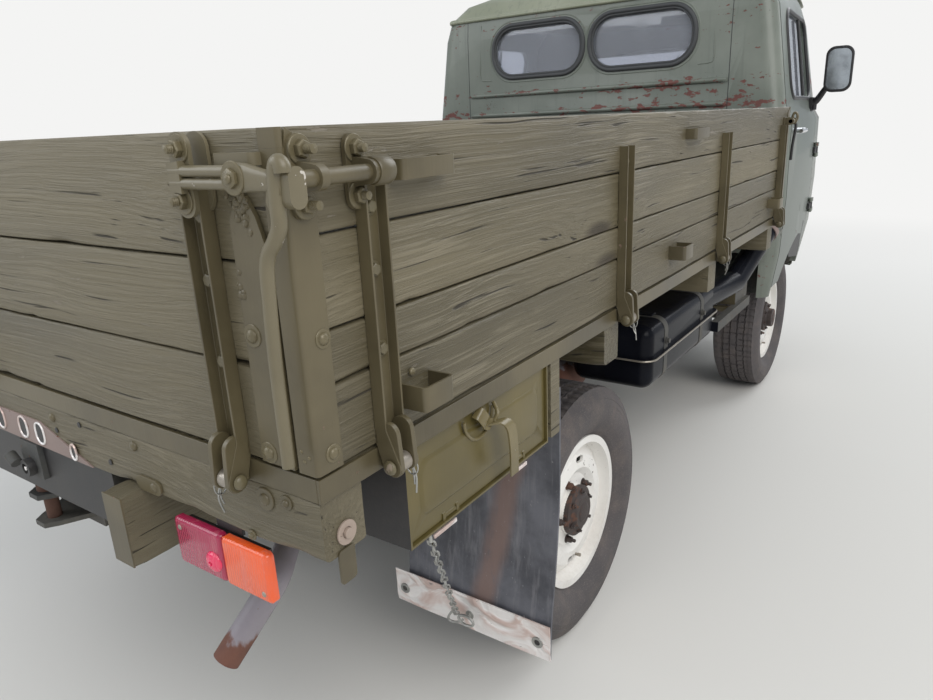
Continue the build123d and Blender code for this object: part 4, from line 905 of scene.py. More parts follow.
# drawn at the hinge pin: X across, Y outwards, Z up; the board face is at Y -0.025
def strapParts(size, seed):
    rng = np.random.default_rng(seed)
    w, p, s, face = size["half"], size["proud"], size["steel"], -0.025
    channel = [(-w, face), (-w, face + p), (-w + s, face + p), (-w + s, face + s), (w - s, face + s),
        (w - s, face + p), (w, face + p), (w, face)]
    steel = [prism(channel, 2, size["low"], size["top"])]
    steel.append(slab(-w, w, face + 0.001, face + s, 0.030, size["low"]))
    inner, outer = size["ear"]
    cheek = ([(face, 0.030), (face, size["low"] + 0.002), (face + p, size["low"] + 0.002)]
        + arcPoints((0, 0), 0.0155, 20, -90, 9) + arcPoints((0, 0), 0.0155, -120, -170, 4))
    lug = arcPoints((-0.004, 0.046), 0.0165, 0, 180, 10) + arcPoints((0, 0), 0.0165, 195, 345, 12)
    for side in (-1, 1):
        steel.append(prism(cheek, 0, side * (w - s), side * w))
        steel.append(prism(lug, 0, side * inner, side * outer))
    boss = [turnedPart([(0.0066, -0.0098), (0.0125, -0.0098), (0.0135, -0.0085), (0.0135, 0.0085),
        (0.0125, 0.0098), (0.0066, 0.0098)], (0, 0, 0), (1, 0, 0), 28)]
    pin = [rodPart((-0.0235, 0, 0), (0.026, 0, 0), size["pin"], 18)]
    pin.append(domePart((-0.0235, 0, 0), (-1, 0, 0), 0.0105, 0.006))
    pin += hexPart((0.0183, 0, 0), (1, 0, 0), 0.0001, 0.0001, 0.0115)[1:]
    loop = np.array([(0.0225, 0.010 * math.sin(a), -0.004 - 0.013 * (1 - math.cos(a)))
        for a in np.linspace(0.35, 5.9, 22)])
    wire = [tubePart(loop, 0.0011, 7)]
    tail = rng.uniform(-0.006, 0.006)
    legs = [smoothPath([(0.0225, 0.001, 0.011), (0.0228, 0.000, -0.012),
        (0.0240, 0.003 + side * 0.002, -0.034),
        (0.0233 + side * 0.0010, 0.002 + tail, -0.052 - 0.007 * side)], 5) for side in (-1, 1)]
    wire += [tubePart(leg, 0.0014, 7) for leg in legs]
    heads = []
    for z in size["bolts"]:
        heads += hexPart((rng.uniform(-0.002, 0.002), face + s, z), (0, 1, 0), 0.0085, 0.0055, 0.0115, 0.0,
            rng.uniform(0, 1))
    return {"steel": steel, "boss": boss, "pin": pin, "wire": wire, "heads": heads}


def spread(kind, sets, place, turn=None):   # one kind of part out of several hinge sets, each at its place
    return [placed(part, at, turn) for one, at in zip(sets, place) for part in one[kind]]


outward = {1: None, -1: np.diag((1.0, -1.0, 1.0))}
gateTurn = np.array(((0.0, -1.0, 0.0), (1.0, 0.0, 0.0), (0.0, 0.0, 1.0)))
sideSets = [strapParts(strap, 500 + k) for k in range(4)]
gateSets = [strapParts(strap, 540 + k) for k in range(3)]


def hingeRow(wall, label, sets, place, turn, body, node):
    for kind, name, coat, holder in (("steel", "Straps", "olive", body),
            ("heads", "StrapBolts", "paintedBolt", body), ("pin", "HingePins", "paintedBolt", "chassis"),
            ("wire", "HingeWires", "wireSteel", "chassis")):
        bevel, replaced = (0.0009, (node,)) if kind == "steel" else (0.0, ())
        addPiece(wall + name + label, spread(kind, sets, place, turn), coat, holder, bevel, replaced=replaced)


for label, side in sides:
    at = [(x, side * bed["hingeY"], bed["hingeZ"]) for x in bed["strapsX"]]
    hingeRow("side", label, sideSets, at, outward[side], sided("side", side), sided("side_straps", side))
at = [(bed["gateHingeX"], y, bed["hingeZ"]) for y in bed["gateStrapsY"]]
hingeRow("gate", "", gateSets, at, gateTurn, "tailgate", "tailgate_straps")
bosses = spread("boss", gateSets, at, gateTurn)
half = bed["armHalf"]
arms = [slab(bed["gateHingeX"], bed["rear"], y - half, y + half, *bed["armZ"]) for y in bed["gateStrapsY"]]
for side in (-1, 1):
    at = [(x, side * bed["hingeY"], bed["hingeZ"]) for x in bed["strapsX"]]
    bosses += spread("boss", sideSets, at, outward[side])
    arms += [slab(x - half, x + half, side * bed["half"], side * bed["hingeY"], *bed["armZ"])
        for x in bed["strapsX"]]
addPiece("hingeBosses", bosses, "wornSteel", "chassis", 0.0)
out, inn, low, high = bed["half"], bed["half"] - bed["edge"], bed["floor"] - 0.034, bed["floor"]
rails = [slab(bed["rear"], bed["front"], side * inn, side * out, low, high) for side in (-1, 1)]
rails += [slab(x, x + bed["edge"], -inn, inn, low, high) for x in (bed["rear"], bed["front"] - bed["edge"])]
addPiece("bedRails", rails + arms, "olive", "chassis", 0.0012, replaced=("bed_rails",))
print("hinges ready")

# ---- corner posts, pockets and side latches, drawn on the left and mirrored

corner = {"rear": -2.176, "front": 0.477, "out": 0.966, "inn": 0.936, "steel": 0.003, "low": 1.016,
    "top": 1.431, "flange": 0.042, "barY": 1.000, "barZ": 1.377, "bar": 0.0095, "pocketSteel": 0.004,
    # columns: x, z, width, proud, height
    "pockets": ((-1.975, 1.066, 0.068, 0.045, 0.036), (-0.873, 1.080, 0.068, 0.045, 0.036),
    (0.242, 1.080, 0.068, 0.045, 0.036), (-1.948, 1.374, 0.115, 0.030, 0.026),
    (-0.758, 1.374, 0.115, 0.030, 0.026))}


def cornerPostParts(size, end, into):
    out, s, low, high, reach = size["out"], size["steel"], size["low"], size["top"], size["flange"]
    bend = arcPoints((end + into * 0.003, out - 0.003), 0.006, 180 if into > 0 else 0, 90, 5)
    outline = bend + [(end + into * reach, out + s), (end + into * reach, out), (end + into * 0.001, out),
        (end, out - 0.001), (end, size["inn"]), (end - into * s, size["inn"])]
    parts = [prism(outline, 2, low, high - 0.022), prism(outline[:5] + outline[7:], 2, high - 0.022, high)]
    wedge = [(end + into * 0.008, high), (end + into * 0.004, high - 0.022),
        (end + into * reach, high - 0.022)]
    parts.append(prism(wedge, 1, out, out + s))
    return parts


def pocketParts(size, x, z, width, proud, height):
    t, r, y = size["pocketSteel"], 0.006, size["out"]
    half, far = width / 2 - t / 2, y + proud - t / 2
    path = ([(x - half, y)] + arcPoints((x - half + r, far - r), r, 180, 90, 5)
        + arcPoints((x + half - r, far - r), r, 90, 0, 5) + [(x + half, y)])
    return [strapPart([(px, py, z) for px, py in path], (0, 0, 1), height, t)]


def sideLatchParts(size):   # bar from the rear, its lug plates with bolts, and the bearing at the first strap
    y, z, r = size["barY"], size["barZ"], size["bar"]
    steel = [rodPart((-2.190, y, z), (-2.052, y, z), r, 24)]
    steel.append(turnedPart([(0, -0.014), (0.016, -0.014), (0.0175, -0.0115), (0.0175, 0.0115),
        (0.016, 0.014), (0, 0.014)], (-2.056, y, z), (1, 0, 0), 28))
    heads = []
    for x, low, high in ((-2.156, 1.330, 1.424), (-2.070, 1.332, 1.421)):
        middle, half = (low + high) / 2, (high - low) / 2
        rounded = boxAt(x, middle, 0.030, 2 * half, 0.0145, 6)
        steel.append(prism(rounded, 1, size["out"] + 0.003, size["out"] + 0.009))
        cheek = [(size["out"] + 0.008, z - 0.018), (size["out"] + 0.008, z + 0.018)] + arcPoints((y, z),
            0.0145, 90, -90, 9)
        steel.append(prism(cheek, 0, x - 0.007, x + 0.005))
        for k, bolt in enumerate((high - 0.017, low + 0.017)):
            heads += hexPart((x, size["out"] + 0.009, bolt), (0, 1, 0), 0.0105, 0.0085, 0.0165,
                0.017 if x < -2.1 else 0.013, 0.4 + k)
    return steel, heads


def frontLatchParts(size):
    x, y, z = size["front"] - 0.014, size["out"], size["barZ"]
    steel = [slab(x - 0.100, x, y, y + 0.005, z - 0.016, z + 0.016),
        rodPart((x - 0.082, y + 0.024, z), (x + 0.006, y + 0.024, z), 0.0085)]
    for low in (-0.082, -0.024):
        cheek = [(y + 0.004, z - 0.014), (y + 0.004, z + 0.014)] + arcPoints((y + 0.024, z), 0.013, 90, -90,
            9)
        steel.append(prism(cheek, 0, x + low, x + low + 0.006))
    eye = [(x, y + 0.024 + 0.009 * math.cos(a), z + 0.014 + 0.017 * math.sin(a)) for a in circle(20)]
    steel.append(tubePart(eye, 0.005, 10, True))
    handle = smoothPath([(x, y + 0.024, z), (x - 0.003, y + 0.030, z - 0.016),
        (x - 0.006, y + 0.030, z - 0.036), (x - 0.009, y + 0.025, z - 0.095),
        (x - 0.010, y + 0.024, z - 0.150)], 7)
    return steel, [tubePart(handle, 0.0055, 12)]


def cornerFittings(size):
    steel = cornerPostParts(size, size["rear"], 1) + cornerPostParts(size, size["front"], -1)
    for row in size["pockets"]:
        steel += pocketParts(size, *row)
    latch, latchHeads = sideLatchParts(size)
    front, handle = frontLatchParts(size)
    heads = latchHeads
    for x, z in ((-2.146, 1.188), (-2.150, 1.039)):
        heads += [rodPart((x, size["out"] + size["steel"] - 0.001, z),
            (x, size["out"] + size["steel"] + 0.0015, z), 0.0125, 22),
            domePart((x, size["out"] + size["steel"] + 0.001, z), (0, 1, 0), 0.0085, 0.0055)]
    for y, z in ((0.948, 1.034), (0.944, 1.047), (0.957, 1.041)):
        heads.append(domePart((size["rear"] - size["steel"], y, z), (-1, 0, 0), 0.0028, 0.0016, 10))
    for x, z in ((size["pockets"][0][0] - 0.027, 1.050), (-1.985, 1.095), (-1.915, 1.369), (-1.978, 1.369)):
        heads.append(domePart((x, size["out"] + 0.003, z), (0, 1, 0), 0.006, 0.004, 12))
    for name, parts, side in bothSides("cornerPosts", steel + latch + front):
        addPiece(name, parts, "olive", sided("side", side), 0.0008, replaced=(sided("side_straps", side),))
    for name, parts, side in bothSides("sideLatchBolts", heads):
        addPiece(name, parts, "boltSteel", sided("side", side))
    for name, parts, side in bothSides("frontLatchHandle", handle):
        addPiece(name, parts, "black", sided("side", side))


cornerFittings(corner)
print("corner posts ready")

# ---- tailgate ends and the gate's latches

gate = {"face": -2.176, "x": -2.206, "far": 0.930, "near": 0.870, "peak": 1.358, "rods": (1.3735, 1.3875),
    "rod": 0.0065, "joint": (0.928, 1.3805),
    "arm": ((0.915, 0.013), (0.930, 0.0165), (0.945, 0.0150), (0.965, 0.0125), (0.988, 0.0100)),
    # columns: y, z of the cranked handle
    "handle": ((1.004, 1.3860), (1.0035, 1.3920), (0.9985, 1.3960), (0.9935, 1.3880), (0.9915, 1.3700),
    (0.9900, 1.3480), (0.9860, 1.3300), (0.9760, 1.3140), (0.9640, 1.3000), (0.9575, 1.2820),
    (0.9550, 1.2500), (0.9520, 1.2000), (0.9505, 1.1400), (0.9500, 1.0400))}


def gateEndParts(size, rng):
    middle = (size["far"] + size["near"]) / 2
    outline = [(size["near"], 1.018), (size["far"], 1.018), (size["far"], 1.300), (middle + 0.018, 1.335),
        (middle + 0.004, size["peak"]), (middle - 0.012, size["peak"] - 0.004), (size["near"] + 0.002, 1.330)]
    steel = [prism(outline, 0, size["face"] - 0.005, size["face"] + 0.001)]
    weld = []
    for _ in range(34):
        y, z = middle + rng.normal(-0.006, 0.010), 1.345 + rng.normal(0, 0.011)
        weld.append(domePart((size["face"] - 0.004, y, z),
            (-1, rng.uniform(-0.3, 0.3), rng.uniform(-0.3, 0.3)), rng.uniform(0.0025, 0.0065),
            rng.uniform(0.002, 0.005), 9))
    for _ in range(9):
        weld.append(domePart((size["face"] - 0.004, size["near"] + 0.006 + rng.normal(0, 0.004),
            1.248 + rng.normal(0, 0.006)), (-1, 0.1, 0.1), rng.uniform(0.003, 0.006), 0.003, 9))
    heads = []
    for z in (1.190, 1.033):
        place = (size["face"] - 0.005, size["near"] + 0.015, z)
        heads += [rodPart(np.array(place) + (0.001, 0, 0), np.array(place) - (0.0015, 0, 0), 0.0150, 24),
            domePart(np.array(place) - (0.001, 0, 0), (-1, 0, 0), 0.0095, 0.006)]
    return steel + weld, heads


def gateLatchParts(size):
    x, (jy, jz) = size["x"], size["joint"]
    plate = boxAt(0.824, 1.382, 0.036, 0.098, 0.017, 7)
    steel = [prism(plate, 0, size["face"] - 0.020, size["face"] - 0.026)]
    back = boxAt(0.829, 1.384, 0.040, 0.094, 0.019, 7)
    steel.append(prism(back, 0, size["face"] - 0.001, size["face"] - 0.0055))
    steel.append(prism([(0.812, 1.365), (0.834, 1.362), (0.834, 1.399), (0.812, 1.396)], 0,
        size["face"] - 0.024, x - 0.006))
    for z in size["rods"]:
        steel.append(rodPart((x, 0.812, z), (x, jy + 0.004, z), size["rod"], 18))
    rings = []
    for y, half in size["arm"]:
        z = jz - 0.10 * max(0.0, y - 0.945)
        rings.append([(x + 0.0075 * c, y, z + half * s)
            for c, s in [(math.copysign(abs(math.cos(a)) ** 0.6, math.cos(a)),
            math.copysign(abs(math.sin(a)) ** 0.6, math.sin(a))) for a in circle(20)]])
    steel.append(lofted(np.array(rings)))
    fork = [(0.982, 1.3865), (1.000, 1.3900), (1.000, 1.3640), (0.990, 1.3520), (0.980, 1.3480),
        (0.977, 1.3560), (0.981, 1.3700)]
    steel.append(prism(fork, 0, x - 0.006, x + 0.010))
    link = boxAt(x + 0.008, 1.3700, 0.024, 0.044, 0.0118, 8)
    steel.append(prism(link, 1, 0.9990, 1.0130))
    steel.append(rodPart((x + 0.006, 1.000, 1.377), (-2.172, 1.000, 1.377), 0.009, 20))
    handle = smoothPath([(x - 0.002 * (k < 6), y, z) for k, (y, z) in enumerate(size["handle"])], 6)
    grow = np.interp(np.arange(len(handle)), (0, 14, 50, len(handle) - 1), (0.0095, 0.0095, 0.0085, 0.0080))
    steel.append(tubePart(handle, grow, 18))
    staple = ([(size["face"] + 0.004, 0.874), (size["face"] - 0.008, 0.874)]
        + arcPoints((size["face"] - 0.010, 0.878), 0.005, 270, 180, 4)
        + arcPoints((size["face"] - 0.010, 0.932), 0.005, 180, 90, 4) + [(size["face"] + 0.004, 0.937)])
    steel.append(strapPart([(px, py, 1.399) for px, py in staple], (0, 0, 1), 0.014, 0.004))
    heads = []
    for k, (y, z) in enumerate(((0.838, 1.4125), (0.832, 1.3535))):
        heads += hexPart((size["face"] - 0.026, y - 0.010, z), (-1, 0, 0), 0.0105, 0.0085, 0.0165, 0.013,
            0.2 + k)
    heads += hexPart((x - 0.0065, jy + 0.002, jz), (-1, 0, 0), 0.0110, 0.0050, 0.0185, 0.0065, 0.5)
    return steel, heads


endParts, endHeads = gateEndParts(gate, np.random.default_rng(61))
latchParts, latchHeads = gateLatchParts(gate)
addPiece("gateEnds", endParts + mirroredParts(endParts), "olive", "tailgate", 0.0008,
    replaced=("tailgate_straps",))
addPiece("gateLatches", latchParts + mirroredParts(latchParts), "latchSteel", "tailgate", 0.0007,
    replaced=("tailgate_straps",))
addPiece("gateLatchBolts", endHeads + latchHeads + mirroredParts(endHeads + latchHeads), "boltSteel",
    "tailgate")

# ---- rear of the frame: beam fittings, lamps, toolbox, flaps, chain

beam = {"face": -2.1755,
    # columns: y, z, washer's radius
    "caps": ((-0.858, 0.956, 0.017), (-0.900, 0.962, 0.011), (-0.817, 0.887, 0.008)),
    # columns: y, z
    "domes": ((-0.543, 0.960), (-0.285, 0.956), (0.285, 0.956), (0.543, 0.960), (0.858, 0.956)),
    "holes": ((-0.460, 0.911), (-0.292, 0.933), (-0.380, 0.962), (0.460, 0.911)),
    "washer": (-2.135, -0.9605, 0.915), "slotPlate": (-2.139, 0.868, 0.030, 0.052, 0.006, 4),
    "longPlate": (-0.571, 0.899, 0.066, 0.026, 0.0125, 6)}
beamEnds, rearward = [], (-1, 0, 0)
for y, z, radius in beam["caps"]:
    beamEnds += [rodPart((beam["face"], y, z), (beam["face"] - 0.0035, y, z), radius, 24),
        domePart((beam["face"] - 0.003, y, z), rearward, radius * 0.55, 0.005)]
beamEnds.append(prism(boxAt(*beam["slotPlate"]), 1, -0.9600, -0.9635))
x, y, z = beam["washer"]
washerParts = [turnedPart([(0.008, 0), (0.0175, 0), (0.0175, 0.003), (0.008, 0.003)], beam["washer"],
    (0, -1, 0), 30), rodPart((x, -0.960, z), (x, -0.968, z), 0.0075, 18)]
beamEnds += [domePart((beam["face"], y, z), rearward, 0.0085, 0.005) for y, z in beam["domes"]]
beamEnds += [prism(boxAt(*beam["longPlate"]), 0, -2.1795, -2.1750),
    domePart((-2.179, -0.586, 0.899), rearward, 0.0085, 0.004)]
# black discs: painted shade inside the beam's holes
holes = [rodPart((-2.1752, y, z), (-2.1767, y, z), 0.0052, 14) for y, z in beam["holes"]]
sillEnds = [slab(-2.2155, -2.2125, side * 0.4905, side * 0.5445, 0.757, 0.883) for side in (-1, 1)]
addPiece("beamHoles", holes, "black", "chassis")
addPiece("beamFittings", beamEnds, "olive", "chassis", 0.0005)
addPiece("beamWasher", washerParts, "washerPale", "chassis", 0.0004)
addPiece("sillEnds", sillEnds, "olive", "chassis", 0.0008)

lamp = {"x": (-2.173, -2.155), "y": (0.612, 0.832), "z": (0.770, 0.853), "split": 0.728,
    "stop": (0.706, 0.802), "stopRadius": 0.0175, "plate": (0.015, 0.012, 0.004),
    "mount": (-2.154, -2.148, 0.700, 0.760, 0.885), "screws": ((0.628, 0.838), (0.817, 0.785))}


def rearLamps(size):
    (x0, x1), (y0, y1), (z0, z1) = size["x"], size["y"], size["z"]
    middle = (z0 + z1) / 2
    lensSets = {"red": (y0, size["split"] - 0.0006), "orange": (size["split"] + 0.0006, y1)}
    for coat, (near, far) in lensSets.items():
        parts = []
        for side in (-1, 1):
            box = boxAt(side * (near + far) / 2, middle, far - near, z1 - z0, 0.007, 5)
            inset = boxAt(side * (near + far) / 2, middle, far - near - 0.006, z1 - z0 - 0.006, 0.006, 5)
            rings = np.array([[(x1 - 0.003, y, z) for y, z in box], [(x0 + 0.004, y, z) for y, z in box],
                [(x0 + 0.0012, y, z) for y, z in inset],
                [(x0, y * 0.94 + 0.06 * side * (near + far) / 2, z * 0.94 + 0.06 * middle)
                for y, z in inset]])
            parts.append(lofted(rings))
        addPiece(coat + "Lenses", parts, coat, "chassis", 0.0, 60, ("rear_lamps",))
    back = [slab(x1 - 0.003, -2.148, side * (y0 + 0.015), side * (y1 - 0.015), z0 + 0.012, z1 - 0.004)
        for side in (-1, 1)]
    back += [slab(-2.154, -2.148, side * 0.700, side * 0.760, z1, 0.885) for side in (-1, 1)]
    addPiece("lampBacks", back, "black", "chassis", 0.001)
    y, z = size["stop"]
    dome = [(0, -0.004), (size["stopRadius"], -0.004), (size["stopRadius"], 0.001), (0.015, 0.0042),
        (0.010, 0.0065), (0.004, 0.0075)]
    addPiece("stopLenses", [turnedPart(dome, (x0, side * y, z), (-1, 0, 0), 32) for side in (-1, 1)],
        "stopRed", "chassis", 0.0, 70)
    screws = [domePart((x0, side * sy, sz), (-1, 0, 0), 0.0045, 0.002, 14) for side in (-1, 1)
        for sy, sz in ((0.628, 0.838), (0.817, 0.785))]
    addPiece("lampScrews", screws, "wornSteel", "chassis")


rearLamps(lamp)

chest = {"x": (-1.997, -1.568), "z": (0.815, 0.970), "face": -0.9525, "clip": -1.765,
    "hinge": (-0.950, 0.818)}


def lidParts(size):
    (x0, x1), (z0, z1), face = size["x"], size["z"], size["face"]
    cx, cz, w, h = (x0 + x1) / 2, (z0 + z1) / 2, x1 - x0, z1 - z0
    # columns: inset from the lid's edge, distance out from its face
    steps = ((0.0, -0.004), (0.0, 0.0), (0.029, 0.0), (0.0305, 0.0012), (0.0340, 0.0036), (0.0362, 0.0040))
    rings = []
    for inset, out in steps:
        rings.append([(cx + px, face - out, cz + pz)
            for px, pz in roundedBox(w - 2 * inset, h - 2 * inset, 0.004 + inset * 0.5, 7)])
    return [lofted(np.array(rings))]


def clipParts(size):   # bent spring strap over a half-round recess, held by a curved bracket above it
    x, face = size["clip"], size["face"]
    path = smoothPath([(x - 0.018, face - 0.006, 0.9330), (x - 0.012, face - 0.0200, 0.9380),
        (x - 0.004, face - 0.0330, 0.9390), (x + 0.004, face - 0.0410, 0.9250),
        (x + 0.009, face - 0.0425, 0.8850), (x + 0.013, face - 0.0400, 0.8330)], 8)
    hook = smoothPath([(x - 0.050, face - 0.0040, 0.9680), (x - 0.049, face - 0.0150, 0.9640),
        (x - 0.040, face - 0.0190, 0.9500), (x - 0.028, face - 0.0120, 0.9400),
        (x - 0.016, face - 0.0150, 0.9340)], 8)
    pin = smoothPath([(x + 0.006, face - 0.005, 0.9660), (x - 0.002, face - 0.018, 0.9520),
        (x - 0.010, face - 0.016, 0.9380)], 5)
    rim = [(x - 0.040 + px, face - 0.0045, pz) for px, pz in arcPoints((0, 0.960), 0.043, 180, 360, 24)]
    return [strapPart(path, (1, 0, 0), 0.026, 0.0035), strapPart(hook, (0.8, 0, 0.6), 0.024, 0.003),
        tubePart(pin, 0.0036, 10), tubePart(rim, 0.0030, 8)]


chestBody = copiedNode("toolboxBody", "toolbox", "boxOlive", "chassis", 0.0012)
recolour(chestBody, "black", lambda x, y, z: (x < -2.0025) & (abs(y) < 0.952))
addPiece("toolboxLid", lidParts(chest), "boxOlive", "lid", 0.0, 30, ("toolbox_lid",))
addPiece("lidClip", clipParts(chest), "clipOlive", "lid", 0.0006)
seams = [slab(x0, x1, -0.9592, -0.9555, 0.7975, 0.8045) for x0, x1 in ((-1.945, -1.884), (-1.704, -1.650))]
barrels = [rodPart((x - 0.015, *chest["hinge"]), (x + 0.015, *chest["hinge"]), 0.005)
    for x in (-1.893, -1.672)]
addPiece("hingeSeams", seams, "strip", "chassis", 0.0006)
addPiece("lidBarrels", barrels, "boxOlive", "lid")

flap = {"x": -1.553, "half": 0.003,
    # heights, and where the sheet is there
    "path": ((0.262, 0.330, 0.400, 0.470, 0.540, 0.620, 0.700, 0.905),
    (-1.553, -1.551, -1.542, -1.529, -1.517, -1.508, -1.504, -1.503)), "y": (0.551, 0.955),
    "z": (0.262, 0.905), "strip": (0.516, 0.957, 0.2615, 0.356), "bolts": (0.543, 0.925)}


# hanging sheet: outline rings stacked in height, waved fore and aft
def wavySheet(path, half, ys, zs, rng, swell):
    columns, rows = 22, 26
    y = np.linspace(*ys, columns)
    rings = []
    waveY, waveZ = wander(rng, columns, 5, -swell, swell), wander(rng, rows, 4, -swell, swell)
    for k, z in enumerate(np.linspace(*zs, rows)):
        offset = np.interp(z, *path) + waveY * (1 - k / rows) + waveZ[k]
        front = np.stack([offset - half, y, np.full(columns, z)], -1)
        back = np.stack([offset + half, y, np.full(columns, z)], -1)[::-1]
        rings.append(np.vstack([front, back]))
    return lofted(np.array(rings))


flapParts = [wavySheet(flap["path"], flap["half"], [side * y for y in flap["y"]], flap["z"],
    np.random.default_rng(77 + side), 0.0016) for side in (-1, 1)]
stripParts = [wavySheet(((0.2, 1.0), (flap["x"] - 0.006,) * 2), 0.0012,
    [side * flap["strip"][0], side * flap["strip"][1]], flap["strip"][2:], np.random.default_rng(87 + side),
    0.0016) for side in (-1, 1)]
boltParts, darkParts = [], []
for side in (-1, 1):
    for y in flap["bolts"]:
        boltParts.append(turnedPart([(0.0072, 0), (0.0135, 0), (0.0142, 0.0012), (0.0135, 0.0030),
            (0.0082, 0.0036), (0.0072, 0.0028)], (flap["x"] - 0.0068, side * y, 0.304), (-1, 0, 0), 30))
        # black dome in each ring: painted shade in the bolt hole
        darkParts.append(domePart((flap["x"] - 0.0072, side * y, 0.304), (-1, 0, 0), 0.0074, 0.0022))
addPiece("mudflapSheets", flapParts, "flap", "chassis", 0.0, 50, ("mudflaps",))
addPiece("flapStrips", stripParts, "strip", "chassis", 0.0, 50)
addPiece("flapBolts", boltParts, "wireSteel", "chassis")
addPiece("flapBoltHoles", darkParts, "black", "chassis")

chain = {"start": (-1.945, -0.950, 0.792), "end": (-1.577, -0.715, 0.305), "links": 21, "length": 0.0352,
    "width": 0.0160, "wire": 0.0018}


def chainParts(size):
    start, end = Vector(size["start"]), Vector(size["end"])
    run = end - start
    turn = np.array(run.to_track_quat("X", "Z").to_matrix())
    rng = np.random.default_rng(9)
    half, bend = size["length"] / 2 - size["width"] / 2, size["width"] / 2 - size["wire"]
    loop = [(half + bend * math.cos(a), bend * math.sin(a), 0) for a in np.linspace(-1.57, 1.57, 7)]
    loop += [(-half + bend * math.cos(a), bend * math.sin(a), 0) for a in np.linspace(1.57, 4.71, 7)]
    parts = []
    for k in range(size["links"]):
        twist = np.array(Matrix.Rotation(math.radians(90 * (k % 2) + rng.uniform(-16, 16)), 3, "X"))
        along = (k + 0.5) / size["links"]
        sag = Vector((0, 0, -0.004 * math.sin(math.pi * along)))
        parts.append(placed(tubePart(loop, size["wire"], 8, True), start + run * along + sag, turn @ twist))
    ex, ey, ez = size["end"]
    shackle = smoothPath([(ex - 0.004, ey - 0.002, ez + 0.022), (ex - 0.008, ey + 0.014, ez + 0.002),
        (ex - 0.006, ey + 0.022, ez - 0.018), (ex - 0.002, ey + 0.010, ez - 0.024),
        (ex - 0.004, ey - 0.010, ez - 0.014), (ex - 0.004, ey - 0.020, ez - 0.004)], 6)
    parts.append(tubePart(shackle, 0.0030, 10))
    eye = [(ex - 0.006, ey - 0.030 + 0.021 * math.cos(a), ez - 0.002 + 0.013 * math.sin(a))
        for a in circle(26)]
    parts.append(tubePart(eye, 0.0034, 10, True))
    parts += hexPart((flap["x"] - 0.0068, ey - 0.026, ez - 0.002), (-1, 0, 0), 0.0075, 0.0045, 0.0115, 0.007)
    parts.append(rodPart((size["start"][0], size["start"][1], 0.788),
        (size["start"][0], size["start"][1], 0.808), 0.003))
    return parts


addPiece("flapChain", chainParts(chain), "wireSteel", "chassis", replaced=("flap_chain",))
print("rear fittings ready")

# ---- wheels

wheels = {"y": 0.7225, "z": 0.362, "pitches": 72, "stations": (0.0, 0.10, 0.22, 0.32, 0.66),
    # columns: name, x, +1 left or -1 right, hub's reach
    "corners": (("front_left", 1.212, 1, 0.104), ("front_right", 1.212, -1, 0.104),
    ("rear_left", -1.088, 1, 0.084), ("rear_right", -1.088, -1, 0.084)),
    "wall": ((0.0760, 0.2064), (0.0772, 0.2140), (0.0785, 0.2220), (0.0840, 0.2268), (0.0905, 0.2318),
    (0.0925, 0.2345), (0.0945, 0.2380), (0.0990, 0.2445), (0.1045, 0.2530), (0.1090, 0.2620),
    (0.1118, 0.2720), (0.1134, 0.2830), (0.1138, 0.2930), (0.1131, 0.3020), (0.1116, 0.3100),
    (0.1120, 0.3112), (0.1116, 0.3124), (0.1096, 0.3180), (0.1060, 0.3270), (0.1066, 0.3284),
    (0.1058, 0.3300), (0.1012, 0.3390), (0.0960, 0.3460))}


def tyreParts(size, x, side):
    half = np.array([-0.0905, -0.0868, -0.0830, -0.0800, -0.0765, -0.0730, -0.0695, -0.0655, -0.0615, -0.0575,
        -0.0538, -0.0530, -0.0472, -0.0464, -0.0410, -0.0360, -0.0310, -0.0260, -0.0208, -0.0200, -0.0142,
        -0.0134, -0.0090, -0.0045])
    across = np.concatenate([half, [0.0], -half[::-1]])
    fraction = np.array(size["stations"])
    phase = (np.arange(size["pitches"])[:, None] + fraction).reshape(-1)
    share = np.tile(fraction, size["pitches"])
    zigzag = 0.0026 * (np.abs(((phase[:, None] + 0.25) % 1.0) - 0.5) * 4 - 1)
    reach = np.abs(across)[None, :]
    body = (0.3556 + 0.0063
        * np.sqrt(np.clip(1 - (np.maximum(np.abs(across) - 0.068, 0) / 0.026) ** 2, 0, 1)))[None, :]
    body = body - 0.0016 * (across[None, :] / 0.07) ** 2 * (reach < 0.07)
    depth = np.zeros((len(phase), len(across)))
    for middle in (0.0171, 0.0501):
        depth = np.maximum(depth, 0.0080 * (np.abs(reach - middle) < 0.0031))
    cut = ((share > 0.05) & (share < 0.25))[:, None]
    depth = np.maximum(depth, 0.0052 * cut * (reach > 0.0210) * (reach < 0.0463))
    depth = np.maximum(depth,
        0.0045 * cut * (reach < 0.0132) * (np.arange(len(phase)) // 5 % 2 == 0)[:, None])
    slot = ((share > 0.05) & (share < 0.35))[:, None]
    depth = np.maximum(depth, 0.0050 * slot * (reach > 0.0540) * (reach < 0.0880))
    radius = body - depth
    shift = across[None, :] + zigzag * (reach < 0.0600)
    wall = np.array(size["wall"])
    low = np.broadcast_to(wall, (len(phase),) + wall.shape)
    section = np.concatenate([np.stack([-low[..., 0], low[..., 1]], -1), np.stack([shift, radius], -1),
        np.stack([low[:, ::-1, 0], low[:, ::-1, 1]], -1)], 1)
    angle = (phase * 2 * math.pi / size["pitches"])[:, None]
    rings = np.stack([x + section[..., 1] * np.cos(angle), side * size["y"] + section[..., 0],
        size["z"] + section[..., 1] * np.sin(angle)], -1)
    return [lofted(rings, loop=True)]


